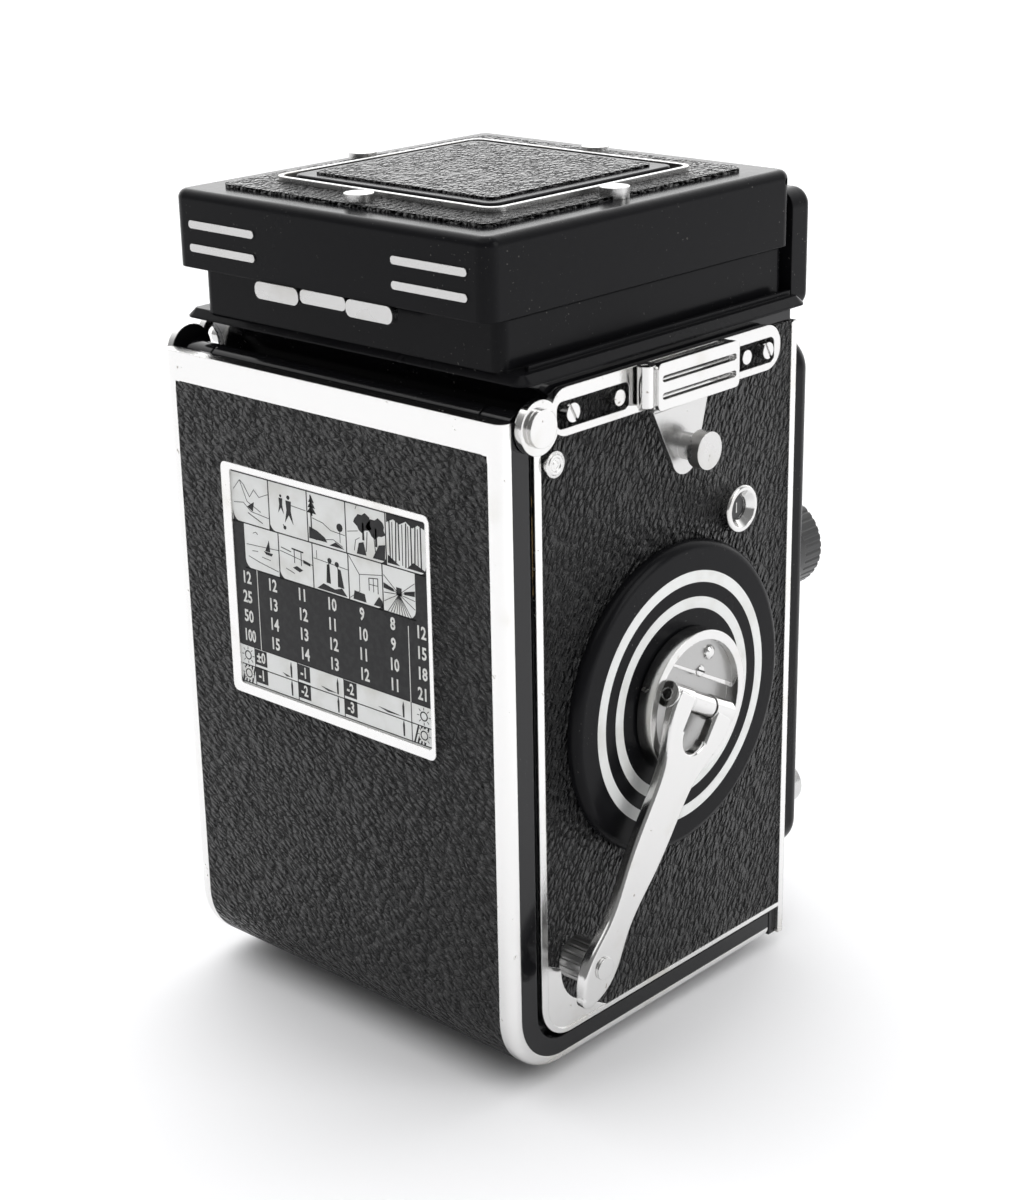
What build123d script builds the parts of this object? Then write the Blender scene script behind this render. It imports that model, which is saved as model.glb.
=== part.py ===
from build123d import *
import os
from math import atan2, cos, degrees, hypot, pi, radians, sin

# Twin lens reflex camera for 6 x 6 cm pictures on 120 roll film, in millimetres.
# -Y is the front with the two lenses, +Y the back door, -X the crank side, +X the focusing
# side, +Z up. Heights are counted from the underside of the body. save() lifts every piece
# by the height of the feet, so the floor is at zero and the tripod thread opens at the origin.

# Driving dimensions
FOOT = 2.0                 # height of the feet and of the tripod boss
HALF_WIDTH = 39.0          # outer face of the leather on either side
BODY_FRONT = -36.2
BODY_REAR = 29.8           # where the door takes over from the side walls
BODY_TOP = 117.7
WALL_OUT = 37.4            # outer face of the casting's side walls
COVER_OUT = 38.4           # outer face of the side covers, under the leather
CHAMBER = 33.2             # half width of the film chamber
SILL_BOTTOM = 0.4

DOOR_HALF = 38.9
DOOR_REAR = 36.16
DOOR_TOP = 113.15
DOOR_FRONT = -33.0
DOOR_CORNER = 12.0
DOOR_SKIN = 2.9
RIM_REAR, RIM_LOW = 30.3, 5.5    # inner edges of the door's side rims
HINGE_Y, HINGE_Z = 30.2, 111.0
HINGE_SWEEP = 6.6          # room that the door's top edge needs as it swings
PIN_R = 1.25
RUNNING = 0.05             # radial clearance of a shaft in its hole

TAKING_Z = 47.8            # height of the taking lens's axis
VIEWING_Z = 89.8           # height of the viewing lens's axis
GATE = 28.0                # half of the picture's 56 mm
GATE_Y = 29.8              # film plane

CRANK_Y, CRANK_Z = -4.65, 57.6
TAKEUP_Y, TAKEUP_Z = 20.0, 91.6
SUPPLY_Y, SUPPLY_Z = -14.0, 15.8
SPOOL_R = 12.5
SPOOL_HALF = 32.8

BOARD_HALF = 35.0
BOARD_BACK, BOARD_FRONT = -37.6, -48.0
BOARD_LOW, BOARD_HIGH = 12.5, 110.5

LID_HALF = 35.34
LID_FRONT, LID_REAR = -40.5, 34.6
LID_LOW, LID_TOP = 127.5, 140.2
LID_PIVOT_Y, LID_PIVOT_Z = -38.8, 138.3
LEATHER_TOP = 140.8

os.makedirs("parts", exist_ok=True)


def save(name, *shapes):
    solids = [s for shape in shapes for s in shape.solids()]
    lifted = [Pos(0, 0, FOOT) * s for s in solids]
    export_step(lifted[0] if len(lifted) == 1 else Compound(children=lifted), f"parts/{name}.step")


def block(x0, x1, y0, y1, z0, z1):
    return Pos((x0 + x1) / 2, (y0 + y1) / 2, (z0 + z1) / 2) * Box(x1 - x0, y1 - y0, z1 - z0)


def across(sketch, x0, x1):
    """A profile drawn in Y and Z, pushed from x0 to x1."""
    return extrude(Plane.YZ.offset(x0) * sketch, x1 - x0)


def along(sketch, y0, y1):
    """A profile drawn in X and Z, pushed from y0 to y1."""
    return extrude(Plane.XZ.offset(-y1) * sketch, y1 - y0)


def upward(sketch, z0, z1):
    """A profile drawn in X and Y, pushed from z0 to z1."""
    return extrude(Plane.XY.offset(z0) * sketch, z1 - z0)


def rounded(u0, u1, v0, v1, radius):
    return Pos((u0 + u1) / 2, (v0 + v1) / 2) * RectangleRounded(u1 - u0, v1 - v0, radius)


def rod_x(y, z, radius, x0, x1):
    return across(Pos(y, z) * Circle(radius), x0, x1)


def rod_y(x, z, radius, y0, y1):
    return along(Pos(x, z) * Circle(radius), y0, y1)


def rod_z(x, y, radius, z0, z1):
    return upward(Pos(x, y) * Circle(radius), z0, z1)


def tube_x(y, z, outer, inner, x0, x1):
    return rod_x(y, z, outer, x0, x1) - rod_x(y, z, inner, x0 - 1, x1 + 1)


def tube_y(x, z, outer, inner, y0, y1):
    return rod_y(x, z, outer, y0, y1) - rod_y(x, z, inner, y0 - 1, y1 + 1)


def stadium(u, v, length, radius, turn):
    return Pos(u, v) * Rot(0, 0, turn) * SlotOverall(length, 2 * radius)


def mirrored(shape):
    return mirror(shape, about=Plane.YZ)


# Body: one casting of side walls, front wall, top deck and rear cross bar
DECK = 113.5
COMPARTMENT = 34.8         # floor of the gear compartment
SCREEN = (-32.5, 22.5)     # front and rear of the focusing screen
KNUCKLE_R = 2.7
KNUCKLE = (31.0, 37.0)
SLEEVE_R = 20.0
ROD_R = 2.0
ROD_X, ROD_LOW, ROD_HIGH = 30.5, 24.0, 104.0
CRANK_SHAFT, SPOOL_SHAFT = 3.0, 2.4
IDLER_SHAFT, ROLLER_SHAFT = 1.5, 0.9
TEETH, IDLER_TEETH = 24, 18
CENTRES = hypot(TAKEUP_Y - CRANK_Y, TAKEUP_Z - CRANK_Z)
MODULE = CENTRES / (TEETH + IDLER_TEETH)
GEAR_R = TEETH * MODULE / 2
ROLLER_Y, ROLLER_R = 28.0, 1.9
ROLLER_Z = (16.0, 79.0)


def lower_rear(outline, y, z, radius):
    """Rounds the profile's corner at y, z."""
    corner = outline.vertices().sort_by_distance((y, z, 0))[0]
    return fillet(corner, radius)


def side_outline(front, rear, low, high, radius):
    outline = Pos((front + rear) / 2, (low + high) / 2) * Rectangle(rear - front, high - low)
    return lower_rear(outline, rear, low, radius)


def hinge_room():
    """The half cylinder above the door hinge that the door's top edge sweeps."""
    sweep = rod_x(HINGE_Y, HINGE_Z, HINGE_SWEEP, -45, 45)
    return sweep - block(-46, 46, 0, 60, 90, HINGE_Z)


def idler_place():
    """The point halfway between the crank and the take-up spool, where the idler meshes with both."""
    return (CRANK_Y + TAKEUP_Y) / 2, (CRANK_Z + TAKEUP_Z) / 2


IDLER_Y, IDLER_Z = idler_place()


def body_casting():
    outer = side_outline(BODY_FRONT, BODY_REAR, 6.3, BODY_TOP, 7)
    lip = side_outline(BODY_FRONT + 2.2, 32.4, 3.9, 107.5, 9)
    wall = across(outer, CHAMBER, WALL_OUT) + across(lip, CHAMBER, WALL_OUT - 0.5)
    casting = wall + mirrored(wall)
    casting += block(-WALL_OUT, WALL_OUT, BODY_FRONT, -33.2, SILL_BOTTOM, BODY_TOP)
    casting += block(-COVER_OUT, COVER_OUT, BODY_FRONT, -34.0, SILL_BOTTOM, 6.3)
    casting += block(-WALL_OUT, WALL_OUT, BODY_FRONT, BODY_REAR, DECK, BODY_TOP)
    casting += block(-WALL_OUT, WALL_OUT, 23.0, HINGE_Y - KNUCKLE_R - 0.4, 104.6, DECK)
    casting -= hinge_room()
    for side in (-1, 1):
        x0, x1 = sorted((side * KNUCKLE[0], side * KNUCKLE[1]))
        casting += rod_x(HINGE_Y, HINGE_Z, KNUCKLE_R, x0, x1)
        casting += block(x0, x1, 26.0, HINGE_Y, HINGE_Z - KNUCKLE_R, HINGE_Z)
    casting -= rod_x(HINGE_Y, HINGE_Z, PIN_R, -38, 38)
    # focusing screen's seat and the light's way up to it
    casting -= block(-29.2, 29.2, SCREEN[0] - 0.2, SCREEN[1] + 0.2, 116.0, 120)
    casting -= block(-27.5, 27.5, SCREEN[0] + 1.5, SCREEN[1] - 1.5, 110, 120)
    # the two lenses' openings and the guides of the focusing rods
    casting -= rod_y(0, TAKING_Z, SLEEVE_R, -40, -30)
    casting -= rod_y(0, VIEWING_Z, 18.5, -40, -30)
    for x in (-ROD_X, ROD_X):
        for z in (ROD_LOW, ROD_HIGH):
            casting += rod_y(x, z, ROD_R + 1.6, -33.4, -28.6)
            casting -= rod_y(x, z, ROD_R + RUNNING, -40, -27)
    # gear compartment, shafts, spool knobs and roller journals
    casting -= across(Pos(CRANK_Y, CRANK_Z) * Circle(14.0), -38, -COMPARTMENT)
    casting -= across(Pos(IDLER_Y, IDLER_Z) * Circle(11.0), -38, -COMPARTMENT)
    casting -= across(Pos(TAKEUP_Y, TAKEUP_Z) * Circle(14.0), -38, -COMPARTMENT)
    casting -= rod_x(CRANK_Y, CRANK_Z, CRANK_SHAFT + RUNNING, -38, -30)
    casting -= rod_x(IDLER_Y, IDLER_Z, IDLER_SHAFT, -38, -30)
    casting -= rod_x(TAKEUP_Y, TAKEUP_Z, SPOOL_SHAFT + RUNNING, -38, 38)
    casting -= rod_x(SUPPLY_Y, SUPPLY_Z, SPOOL_SHAFT + RUNNING, 30, 38)
    casting -= rod_x(SUPPLY_Y, SUPPLY_Z, SPOOL_SHAFT, -38, -30)
    casting -= rod_x(CRANK_Y, CRANK_Z, CRANK_SHAFT + RUNNING, 30, 38)
    for z in ROLLER_Z:
        casting -= rod_x(ROLLER_Y, z, ROLLER_SHAFT + RUNNING, -36, 36)
    return casting


save("body_casting", body_casting())

pins = [rod_x(HINGE_Y, HINGE_Z, PIN_R, -WALL_OUT, WALL_OUT)]
pins.append(rod_x(SUPPLY_Y, SUPPLY_Z, SPOOL_SHAFT, -WALL_OUT, -31.0))
pins.append(rod_x(IDLER_Y, IDLER_Z, IDLER_SHAFT, -37.3, -CHAMBER))
save("body_pins", *pins)

# Side covers, their leather and their bright trim
TRIM_OUT = 39.15
LEATHER = (-35.8, 27.8, 6.7, 115.8)
COUNTER = (-21.0, 86.6)


def side_cover(side):
    outline = side_outline(BODY_FRONT, 29.3, 6.0, BODY_TOP, 7)
    cover = across(outline, WALL_OUT, COVER_OUT) - hinge_room()
    cover -= rod_x(CRANK_Y, CRANK_Z, CRANK_SHAFT + RUNNING, 30, 45)
    if side > 0:
        for y, z in ((TAKEUP_Y, TAKEUP_Z), (SUPPLY_Y, SUPPLY_Z)):
            cover -= rod_x(y, z, SPOOL_SHAFT + RUNNING, 30, 45)
        return cover
    return mirrored(cover)


def corner_plate():
    """Bright plate that backs the end of the folded crank, hollowed out round the crank's knob."""
    hollow = ThreePointArc((20.0, 10.7), (23.6, 14.2), (24.4, 18.3))
    edge = Polyline((24.4, 18.3), (27.8, 20.0), (27.8, 6.7), (13.0, 6.7), (20.0, 10.7))
    return make_face([*edge.edges(), *hollow.edges()]) & side_outline(*LEATHER, 5.5)


def side_leather(side):
    front, rear, low, high = LEATHER
    sheet = side_outline(front, rear, low, high, 5.5)
    if side < 0:
        sheet -= corner_plate()
    piece = across(sheet, COVER_OUT, HALF_WIDTH)
    piece -= hinge_room()
    piece -= rod_x(CRANK_Y, CRANK_Z, 6.0, 30, 45)
    if side < 0:
        piece -= rod_x(*COUNTER, 3.4, 30, 45)
        return mirrored(piece)
    for y, z in ((TAKEUP_Y, TAKEUP_Z), (SUPPLY_Y, SUPPLY_Z)):
        piece -= rod_x(y, z, 3.0, 30, 45)
    return piece


def side_trim(side):
    front, rear, low, high = LEATHER
    ring = side_outline(-37.2, 29.3, 5.9, 108.0, 7)
    ring -= side_outline(front, rear, low, 130, 5.5)
    ring += Pos(-36.5, 110) * Rectangle(1.4, 11)
    ring += Pos(-36.5, 3.4) * Rectangle(1.4, 6)
    trim = across(ring, COVER_OUT, TRIM_OUT)
    trim += across(Pos(-36.7, 58) * Rectangle(1.0, 115.4), 37.4, TRIM_OUT)
    if side > 0:
        return trim
    return mirrored(trim + across(corner_plate(), COVER_OUT, HALF_WIDTH))


save("side_covers", side_cover(-1), side_cover(1))
save("side_leathers", side_leather(-1), side_leather(1))
save("side_trims", side_trim(-1), side_trim(1))


def counter_bezel():
    y, z = COUNTER
    bezel = rod_x(y, z, 4.1, -40.7, -HALF_WIDTH)
    bezel = fillet(bezel.edges().group_by(Axis.X)[0], 0.5)
    mouth = Plane(origin=(-40.8, y, z), x_dir=(0, 1, 0), z_dir=(1, 0, 0))
    bezel -= mouth * Cone(3.3, 2.1, 1.2, align=(Align.CENTER, Align.CENTER, Align.MIN))
    bezel += rod_x(y, z, 3.3, -HALF_WIDTH, -COVER_OUT)
    return bezel - rod_x(y, z, 2.1, -45, -39.2)


save("counter_bezel", counter_bezel())

# Strap lugs: a long bright plate on either side, a slotted bridge and a spring tongue
PLATE_IN, PLATE_OUT = 39.15, 40.5
CAP = (29.4, 111.7)


def strap_plate():
    low, high, front = 109.2, 116.8, -30.7
    outline = rounded(front, 27.0, low, high, 3.7)
    outline += Pos(*CAP) * Circle(4.3)
    outline -= rounded(8.6, 25.6, 110.4, 114.7, 1.2)
    outline -= rounded(-29.0, -16.0, 110.4, 114.7, 1.2)
    plate = across(outline, PLATE_IN, PLATE_OUT)
    plate += rod_x(*CAP, 3.0, PLATE_OUT, PLATE_OUT + 0.8)
    bridge = across(rounded(-15.0, 5.6, 109.6, 117.2, 1.0), 42.8, 43.9)
    bridge -= across(rounded(-14.2, 4.6, 114.1, 115.2, 0.5), 42, 45)
    bridge -= across(rounded(-14.2, 4.6, 111.3, 112.4, 0.5), 42, 45)
    legs = block(PLATE_OUT, 43.0, -15.0, -13.6, 109.9, 116.9)
    legs += block(PLATE_OUT, 43.0, 4.2, 5.6, 109.9, 116.9)
    legs += rod_z(42.1, 6.6, 1.4, 110.4, 117.0) - rod_z(42.1, 6.6, 0.7, 110, 118)
    return plate, bridge + legs


def strap_screws():
    screws = []
    for y, z, radius in ((22.1, 112.6, 1.5), (-27.0, 112.6, 1.4), (11.2, 112.6, 1.3), (-21.2, 112.6, 1.2)):
        screw = rod_x(y, z, radius, HALF_WIDTH, PLATE_OUT + 0.3)
        if radius > 1.35:
            screw -= across(Pos(y, z) * Rot(0, 0, 60) * Rectangle(2 * radius + 1, 0.45), 40.4, 41)
        screws.append(screw)
    screws.append(rod_x(25.4, 105.0, 2.1, HALF_WIDTH, 39.9))
    return screws


def strap_tongue():
    edge = Polyline((4.6, 109.0), (-9.2, 109.0), (-6.6, 99.5), (-0.4, 99.5), (4.6, 109.0))
    blade = make_face(edge) + Pos(-3.5, 100.4) * Circle(3.25)
    tongue = across(blade, 41.0, 42.0) + rod_y(41.5, 109.0, 0.6, -9.0, 4.4)
    stud = rod_x(-3.7, 101.8, 2.2, 42.0, 44.6) + rod_x(-3.7, 101.8, 3.1, 44.6, 46.8)
    return tongue + stud


plate, bridge = strap_plate()
screws = strap_screws()
save("strap_plates", plate, bridge, mirrored(plate), mirrored(bridge))
save("strap_screws", *screws, *[mirrored(s) for s in screws])
save("focus_side_strap_tongue", strap_tongue())
save("crank_side_strap_tongue", mirrored(strap_tongue()))

# Optics in the body: screen, mirror, light chamber and film gate
MIRROR_RISE = 93.8         # the mirror's face is the plane z = y + 93.8


def reflex_mirror():
    half = 31.0
    plane = Plane(origin=(0, -3.8, MIRROR_RISE - 3.8), x_dir=(1, 0, 0), z_dir=(0, -1, 1))
    return plane * Pos(0, 0, -0.9) * Box(56, 2 * half, 1.8)


def light_chamber():
    def funnel(front, rear, y0, y1, y2):
        straight = along(Pos(0, TAKING_Z) * Rectangle(2 * front, 2 * front), y0, y1)
        near = Plane.XZ.offset(-y1) * (Pos(0, TAKING_Z) * Rectangle(2 * front, 2 * front))
        far = Plane.XZ.offset(-y2) * (Pos(0, TAKING_Z) * Rectangle(2 * rear, 2 * rear))
        return straight + loft([near, far])

    return funnel(18.2, 29.3, -33.2, -10, 26.5) - funnel(17.0, 28.1, -34, -10, 27.2)


def film_gate():
    plate = block(-CHAMBER, CHAMBER, 26.5, GATE_Y, 18.4, 76.9)
    plate -= block(-GATE, GATE, 20, 35, TAKING_Z - GATE, TAKING_Z + GATE)
    for x in (-30.6, 30.6):
        plate += block(x - 0.5, x + 0.5, GATE_Y, GATE_Y + 0.4, 19.0, 76.5)
    return plate


save("focusing_screen", block(-29, 29, SCREEN[0], SCREEN[1], 116.0, 117.5))
save("reflex_mirror", reflex_mirror())
save("light_chamber", light_chamber())
save("film_gate", film_gate())

# Film transport: rollers, spools, gears and the two pull-out spool knobs


def film_roller(z):
    roller = rod_x(ROLLER_Y, z, ROLLER_R, -32.8, 32.8)
    return roller + rod_x(ROLLER_Y, z, ROLLER_SHAFT, -35.5, 35.5)


def spool(y, z):
    core = rod_x(y, z, 5.6, -SPOOL_HALF, SPOOL_HALF)
    for x in (-SPOOL_HALF, SPOOL_HALF - 0.9):
        core += rod_x(y, z, SPOOL_R, x, x + 0.9)
    return core - rod_x(y, z, SPOOL_SHAFT + RUNNING, -40, 40)


def gear(y, z, teeth, turn):
    """Spur gear with straight-sided teeth, the first one at the angle turn."""
    radius = teeth * MODULE / 2
    tip, root = radius + 0.85 * MODULE, radius - 1.15 * MODULE
    pitch = 360 / teeth
    disc = Circle(root)
    wide, narrow = 0.40 * pi * MODULE, 0.17 * pi * MODULE
    tooth = make_face(Polyline(
        (root - 0.4, -wide * 0.62), (tip, -narrow), (tip, narrow), (root - 0.4, wide * 0.62),
        (root - 0.4, -wide * 0.62)))
    for k in range(teeth):
        disc += Rot(0, 0, turn + k * pitch) * tooth
    return across(Pos(y, z) * disc, -36.9, -35.3)


for name, z in zip(("lower_film_roller", "upper_film_roller"), ROLLER_Z):
    save(name, film_roller(z))
save("supply_spool", spool(SUPPLY_Y, SUPPLY_Z))
save("takeup_spool", spool(TAKEUP_Y, TAKEUP_Z))

line = degrees(atan2(TAKEUP_Z - CRANK_Z, TAKEUP_Y - CRANK_Y))
crank_gear = gear(CRANK_Y, CRANK_Z, TEETH, line) + rod_x(CRANK_Y, CRANK_Z, CRANK_SHAFT, -41.4, -34.0)
idler_gear = gear(IDLER_Y, IDLER_Z, IDLER_TEETH, line + 180 / IDLER_TEETH)
idler_gear -= rod_x(IDLER_Y, IDLER_Z, IDLER_SHAFT + RUNNING, -40, -30)
drive_gear = gear(TAKEUP_Y, TAKEUP_Z, TEETH, line) + rod_x(TAKEUP_Y, TAKEUP_Z, SPOOL_SHAFT, -36.9, -30.5)
save("crank_gear", crank_gear)
save("idler_gear", idler_gear)
save("takeup_drive_gear", drive_gear)


def spool_knob(y, z):
    knob = rod_x(y, z, 6.5, 39.4, 43.2) + rod_x(y, z, SPOOL_SHAFT, 30.5, 39.4)
    for k in range(24):
        knob -= rod_x(y + 6.7 * cos(radians(15 * k)), z + 6.7 * sin(radians(15 * k)), 0.4, 39, 44)
    return knob


save("supply_spool_knob", spool_knob(SUPPLY_Y, SUPPLY_Z))
save("takeup_spool_knob", spool_knob(TAKEUP_Y, TAKEUP_Z))

# Crank: fixed disc with two white rings, turning hub, folding arm and its knob
HUB_R = 12.5
FOLD_X, FOLD_Y, FOLD_Z = -44.5, -3.9, 57.9
FOLD_TURN = 28.4           # the fold pin's slope in the side's plane
ARM_TURN = -54.7           # the folded arm's direction from the pin
KNOB_REACH = 46.0
KNUCKLE_HALF = 3.1         # half length of the hub's knuckle on the fold pin
EYE_OUT = 8.7              # outer end of the arm's eyes
DISC_R = 27.0
DISC_RINGS = ((21.9, 19.9), (17.45, 15.5))


def crank_disc():
    disc = rod_x(CRANK_Y, CRANK_Z, DISC_R, -41.0, -HALF_WIDTH)
    disc = fillet(disc.edges().group_by(Axis.X)[0], 1.6)
    for outer, inner in DISC_RINGS:
        disc -= tube_x(CRANK_Y, CRANK_Z, outer, inner, -41.5, -40.5)
    return disc - rod_x(CRANK_Y, CRANK_Z, 3.3, -45, -30)


save("crank_disc", crank_disc())
save("crank_disc_rings", *[tube_x(CRANK_Y, CRANK_Z, o, i, -41.05, -40.5) for o, i in DISC_RINGS])


def arm_point(along_arm, sideways):
    turn = radians(ARM_TURN)
    return (FOLD_Y + along_arm * cos(turn) - sideways * sin(turn),
            FOLD_Z + along_arm * sin(turn) + sideways * cos(turn))


def fold_pin(radius, start, end):
    turn = radians(FOLD_TURN)
    middle = (start + end) / 2
    place = Plane(origin=(FOLD_X, FOLD_Y + middle * cos(turn), FOLD_Z + middle * sin(turn)),
                  x_dir=(1, 0, 0), z_dir=(0, cos(turn), sin(turn)))
    return place * Cylinder(radius, end - start)


def crank_hub():
    hub = rod_x(CRANK_Y, CRANK_Z, HUB_R, -44.3, -41.4) - rod_x(CRANK_Y, CRANK_Z, HUB_R - 1.6, -50, -41.9)
    turn = radians(FOLD_TURN)
    half_disc = Pos(CRANK_Y, CRANK_Z) * Circle(HUB_R - 1.6)
    keep = Pos(FOLD_Y - 18 * sin(turn), FOLD_Z + 18 * cos(turn)) * Rot(0, 0, FOLD_TURN) * Rectangle(60, 27)
    hub += across(half_disc & keep, -42.9, -41.4)
    # the knuckle between the arm's two eyes
    foot = Pos(FOLD_Y, FOLD_Z) * Rot(0, 0, FOLD_TURN) * Rectangle(2 * KNUCKLE_HALF, 3.6)
    hub += fold_pin(2.0, -KNUCKLE_HALF, KNUCKLE_HALF) + across(foot, FOLD_X, -41.5)
    hub -= fold_pin(1.0, -10, 10)
    return hub


def crank_arm():
    """Flat bright arm: two eyes on the pin, a forked root, a waist and a long rounded tip."""
    sections = ((-0.4, EYE_OUT - 0.5), (3.0, EYE_OUT - 0.4), (7.0, 6.9), (11.0, 5.2), (18.0, 4.4))
    sections += ((28.0, 4.0), (39.0, 3.0), (KNOB_REACH, 3.9), (KNOB_REACH + 6.0, 1.6))
    top = [arm_point(a, w) for a, w in sections]
    bottom = [arm_point(a, -w) for a, w in reversed(sections)]
    tip = ThreePointArc(top[-1], arm_point(KNOB_REACH + 7.2, 0), bottom[0])
    edges = [*Spline(*top).edges(), *tip.edges()]
    edges += [*Spline(*bottom).edges(), *Line(bottom[-1], top[0]).edges()]
    outline = make_face(edges)
    outline -= Pos(*arm_point(5.4, 0)) * Circle(3.0)
    outline -= Pos(*arm_point(2.0, 0)) * Rot(0, 0, ARM_TURN) * Rectangle(6.8, 2 * KNUCKLE_HALF + 0.8)
    arm = across(outline, -46.8, -45.0)
    arm = fillet(arm.faces().sort_by(Axis.X)[0].edges(), 0.55)
    for side in (-1, 1):
        ends = sorted((side * (KNUCKLE_HALF + 0.25), side * EYE_OUT))
        arm += fold_pin(2.2, *ends)
    arm -= fold_pin(1.0 + RUNNING, -EYE_OUT - 1, EYE_OUT + 1)
    eye = arm_point(KNOB_REACH, 0)
    return arm - rod_x(*eye, 1.2, -50, -40)


def crank_rivet():
    eye = arm_point(KNOB_REACH, 0)
    return rod_x(*eye, 1.2, -46.8, -39.6) + rod_x(*eye, 1.9, -47.2, -46.8) + rod_x(*eye, 1.9, -39.6, -39.3)


def crank_knob():
    eye = arm_point(KNOB_REACH, 0)
    knob = rod_x(*eye, 3.6, -44.6, -40.2) - rod_x(*eye, 1.2 + RUNNING, -50, -30)
    for k in range(18):
        angle = radians(20 * k)
        knob -= rod_x(eye[0] + 3.75 * cos(angle), eye[1] + 3.75 * sin(angle), 0.3, -46, -39)
    return knob


save("crank_hub", crank_hub(), fold_pin(1.0, -EYE_OUT, EYE_OUT))
save("crank_arm", crank_arm(), crank_rivet())
save("crank_knob", crank_knob())

# Focusing knob on the other side, with the drag shaft that carries the focusing cam
KNOB_R = 14.5


def focus_knob():
    knob = rod_x(CRANK_Y, CRANK_Z, KNOB_R, 39.4, 46.5)
    knob += rod_x(CRANK_Y, CRANK_Z, 11.0, 46.5, 48.5)
    knob = fillet(knob.edges().group_by(Axis.X)[-1], 0.6)
    for k in range(40):
        angle = radians(9 * k)
        knob -= rod_x(CRANK_Y + 14.8 * cos(angle), CRANK_Z + 14.8 * sin(angle), 0.55, 41.5, 47)
    return knob + rod_x(CRANK_Y, CRANK_Z, CRANK_SHAFT, 34.0, 39.4)


save("focus_knob", focus_knob())

# Back door: rear wall and foot in one angle, hung at the top of the body
PLAQUE = (-23.6, 25.0, 55.0, 96.2)
PLAQUE_WINDOW = (-22.8, 22.9, 56.8, 95.1)
FEET = ((-30, 18), (30, 18), (-30, -26), (30, -26))


def door_region(depth, front=DOOR_FRONT, top=DOOR_TOP):
    """The side view of everything deeper than depth behind the door's outer skin."""
    return side_outline(front, DOOR_REAR - depth, SILL_BOTTOM + depth, top, DOOR_CORNER - depth)


def door_solid(depth, half, **limits):
    return across(door_region(depth, **limits), -half, half)


def door_shell():
    shell = door_solid(0.7, 35.9, top=108.0, front=-31.4) + door_solid(2.1, DOOR_HALF)
    shell -= door_solid(DOOR_SKIN, WALL_OUT, front=-50, top=130)
    shell -= across(side_outline(-50, RIM_REAR, RIM_LOW, 130, 6.3), -50, 50)
    shell -= block(-50, 50, 20, DOOR_REAR - 2.8, 110.2, 130)
    shell += rod_x(HINGE_Y, HINGE_Z, KNUCKLE_R, -30.6, 30.6)
    shell += block(-30.6, 30.6, HINGE_Y, DOOR_REAR - 2.5, HINGE_Z - 1.4, HINGE_Z + 1.4)
    shell -= rod_x(HINGE_Y, HINGE_Z, PIN_R + RUNNING, -40, 40)
    return shell - rod_z(0, 0, 5.6, -5, 10)


def door_frame():
    frame = door_solid(0, DOOR_HALF)
    frame = fillet(frame.edges().filter_by(Axis.Z).group_by(Axis.Y)[-1], 2.0)
    frame -= door_solid(2.1, 50, front=-50, top=130)
    window = rounded(-35.9, 35.9, -20, 108.1, 1.5)
    frame -= along(window, 20, 50)
    return frame - block(-35.9, 35.9, -31.4, 40, -5, 20)


def door_leather():
    leather = door_solid(0, 35.8, top=108.0, front=-31.3) - door_solid(0.7, 50, front=-50, top=130)
    window = rounded(*PLAQUE, 1.0)
    leather -= along(window, 30, 50)
    leather -= rod_z(0, 0, 9.0, -5, 5)
    for x, y in FEET:
        leather -= rod_z(x, y, 3.0, -5, 5)
    return leather


def plaque_frame():
    outer = rounded(*PLAQUE, 1.2)
    inner = rounded(*PLAQUE_WINDOW, 0.6)
    return along(outer - inner, DOOR_REAR - 0.7, DOOR_REAR + 0.45)


def plaque():
    return along(rounded(*PLAQUE_WINDOW, 0.6), DOOR_REAR - 0.7, DOOR_REAR + 0.1)


def pressure_springs():
    spring = block(-22, 22, 32.0, 32.3, -2, 2)
    spring += block(-22, -19, 32.0, 33.26, -2, 2) + block(19, 22, 32.0, 33.26, -2, 2)
    return [Pos(0, 0, z) * spring for z in (30.0, 65.0)]


def tripod_bush():
    bush = rod_z(0, 0, 9.0, -FOOT, SILL_BOTTOM + 0.7) + rod_z(0, 0, 5.6, SILL_BOTTOM + 0.7, 4.4)
    return bush - rod_z(0, 0, 2.6, -5, 3.6)


def door_latch():
    lever = upward(rounded(-6.0, 6.0, -35.6, -16.0, 2.0), -0.9, 0.2)
    lever += rod_z(0, -18, 3.4, -1.4, -0.9)
    return lever + block(-5, 5, -35.6, -34.4, -1.5, -0.9)


save("door_shell", door_shell())
save("door_frame", door_frame())
save("door_leather", door_leather())
save("exposure_table_frame", plaque_frame())
save("exposure_table", plaque())
save("pressure_plate", along(rounded(-30.5, 30.5, 16.5, 79.0, 2), 30.5, 32.0))
save("pressure_springs", *pressure_springs())
save("tripod_bush", tripod_bush())
save("door_feet", *[rod_z(x, y, 3.0, -FOOT, SILL_BOTTOM + 0.7) for x, y in FEET])
save("door_latch", door_latch())

# Front standard: the board that carries both lenses and slides out to focus
BARREL_FRONT = -57.0
BAYONET_IN = 15.2
RELEASE = (-27.0, 21.5)


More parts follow.
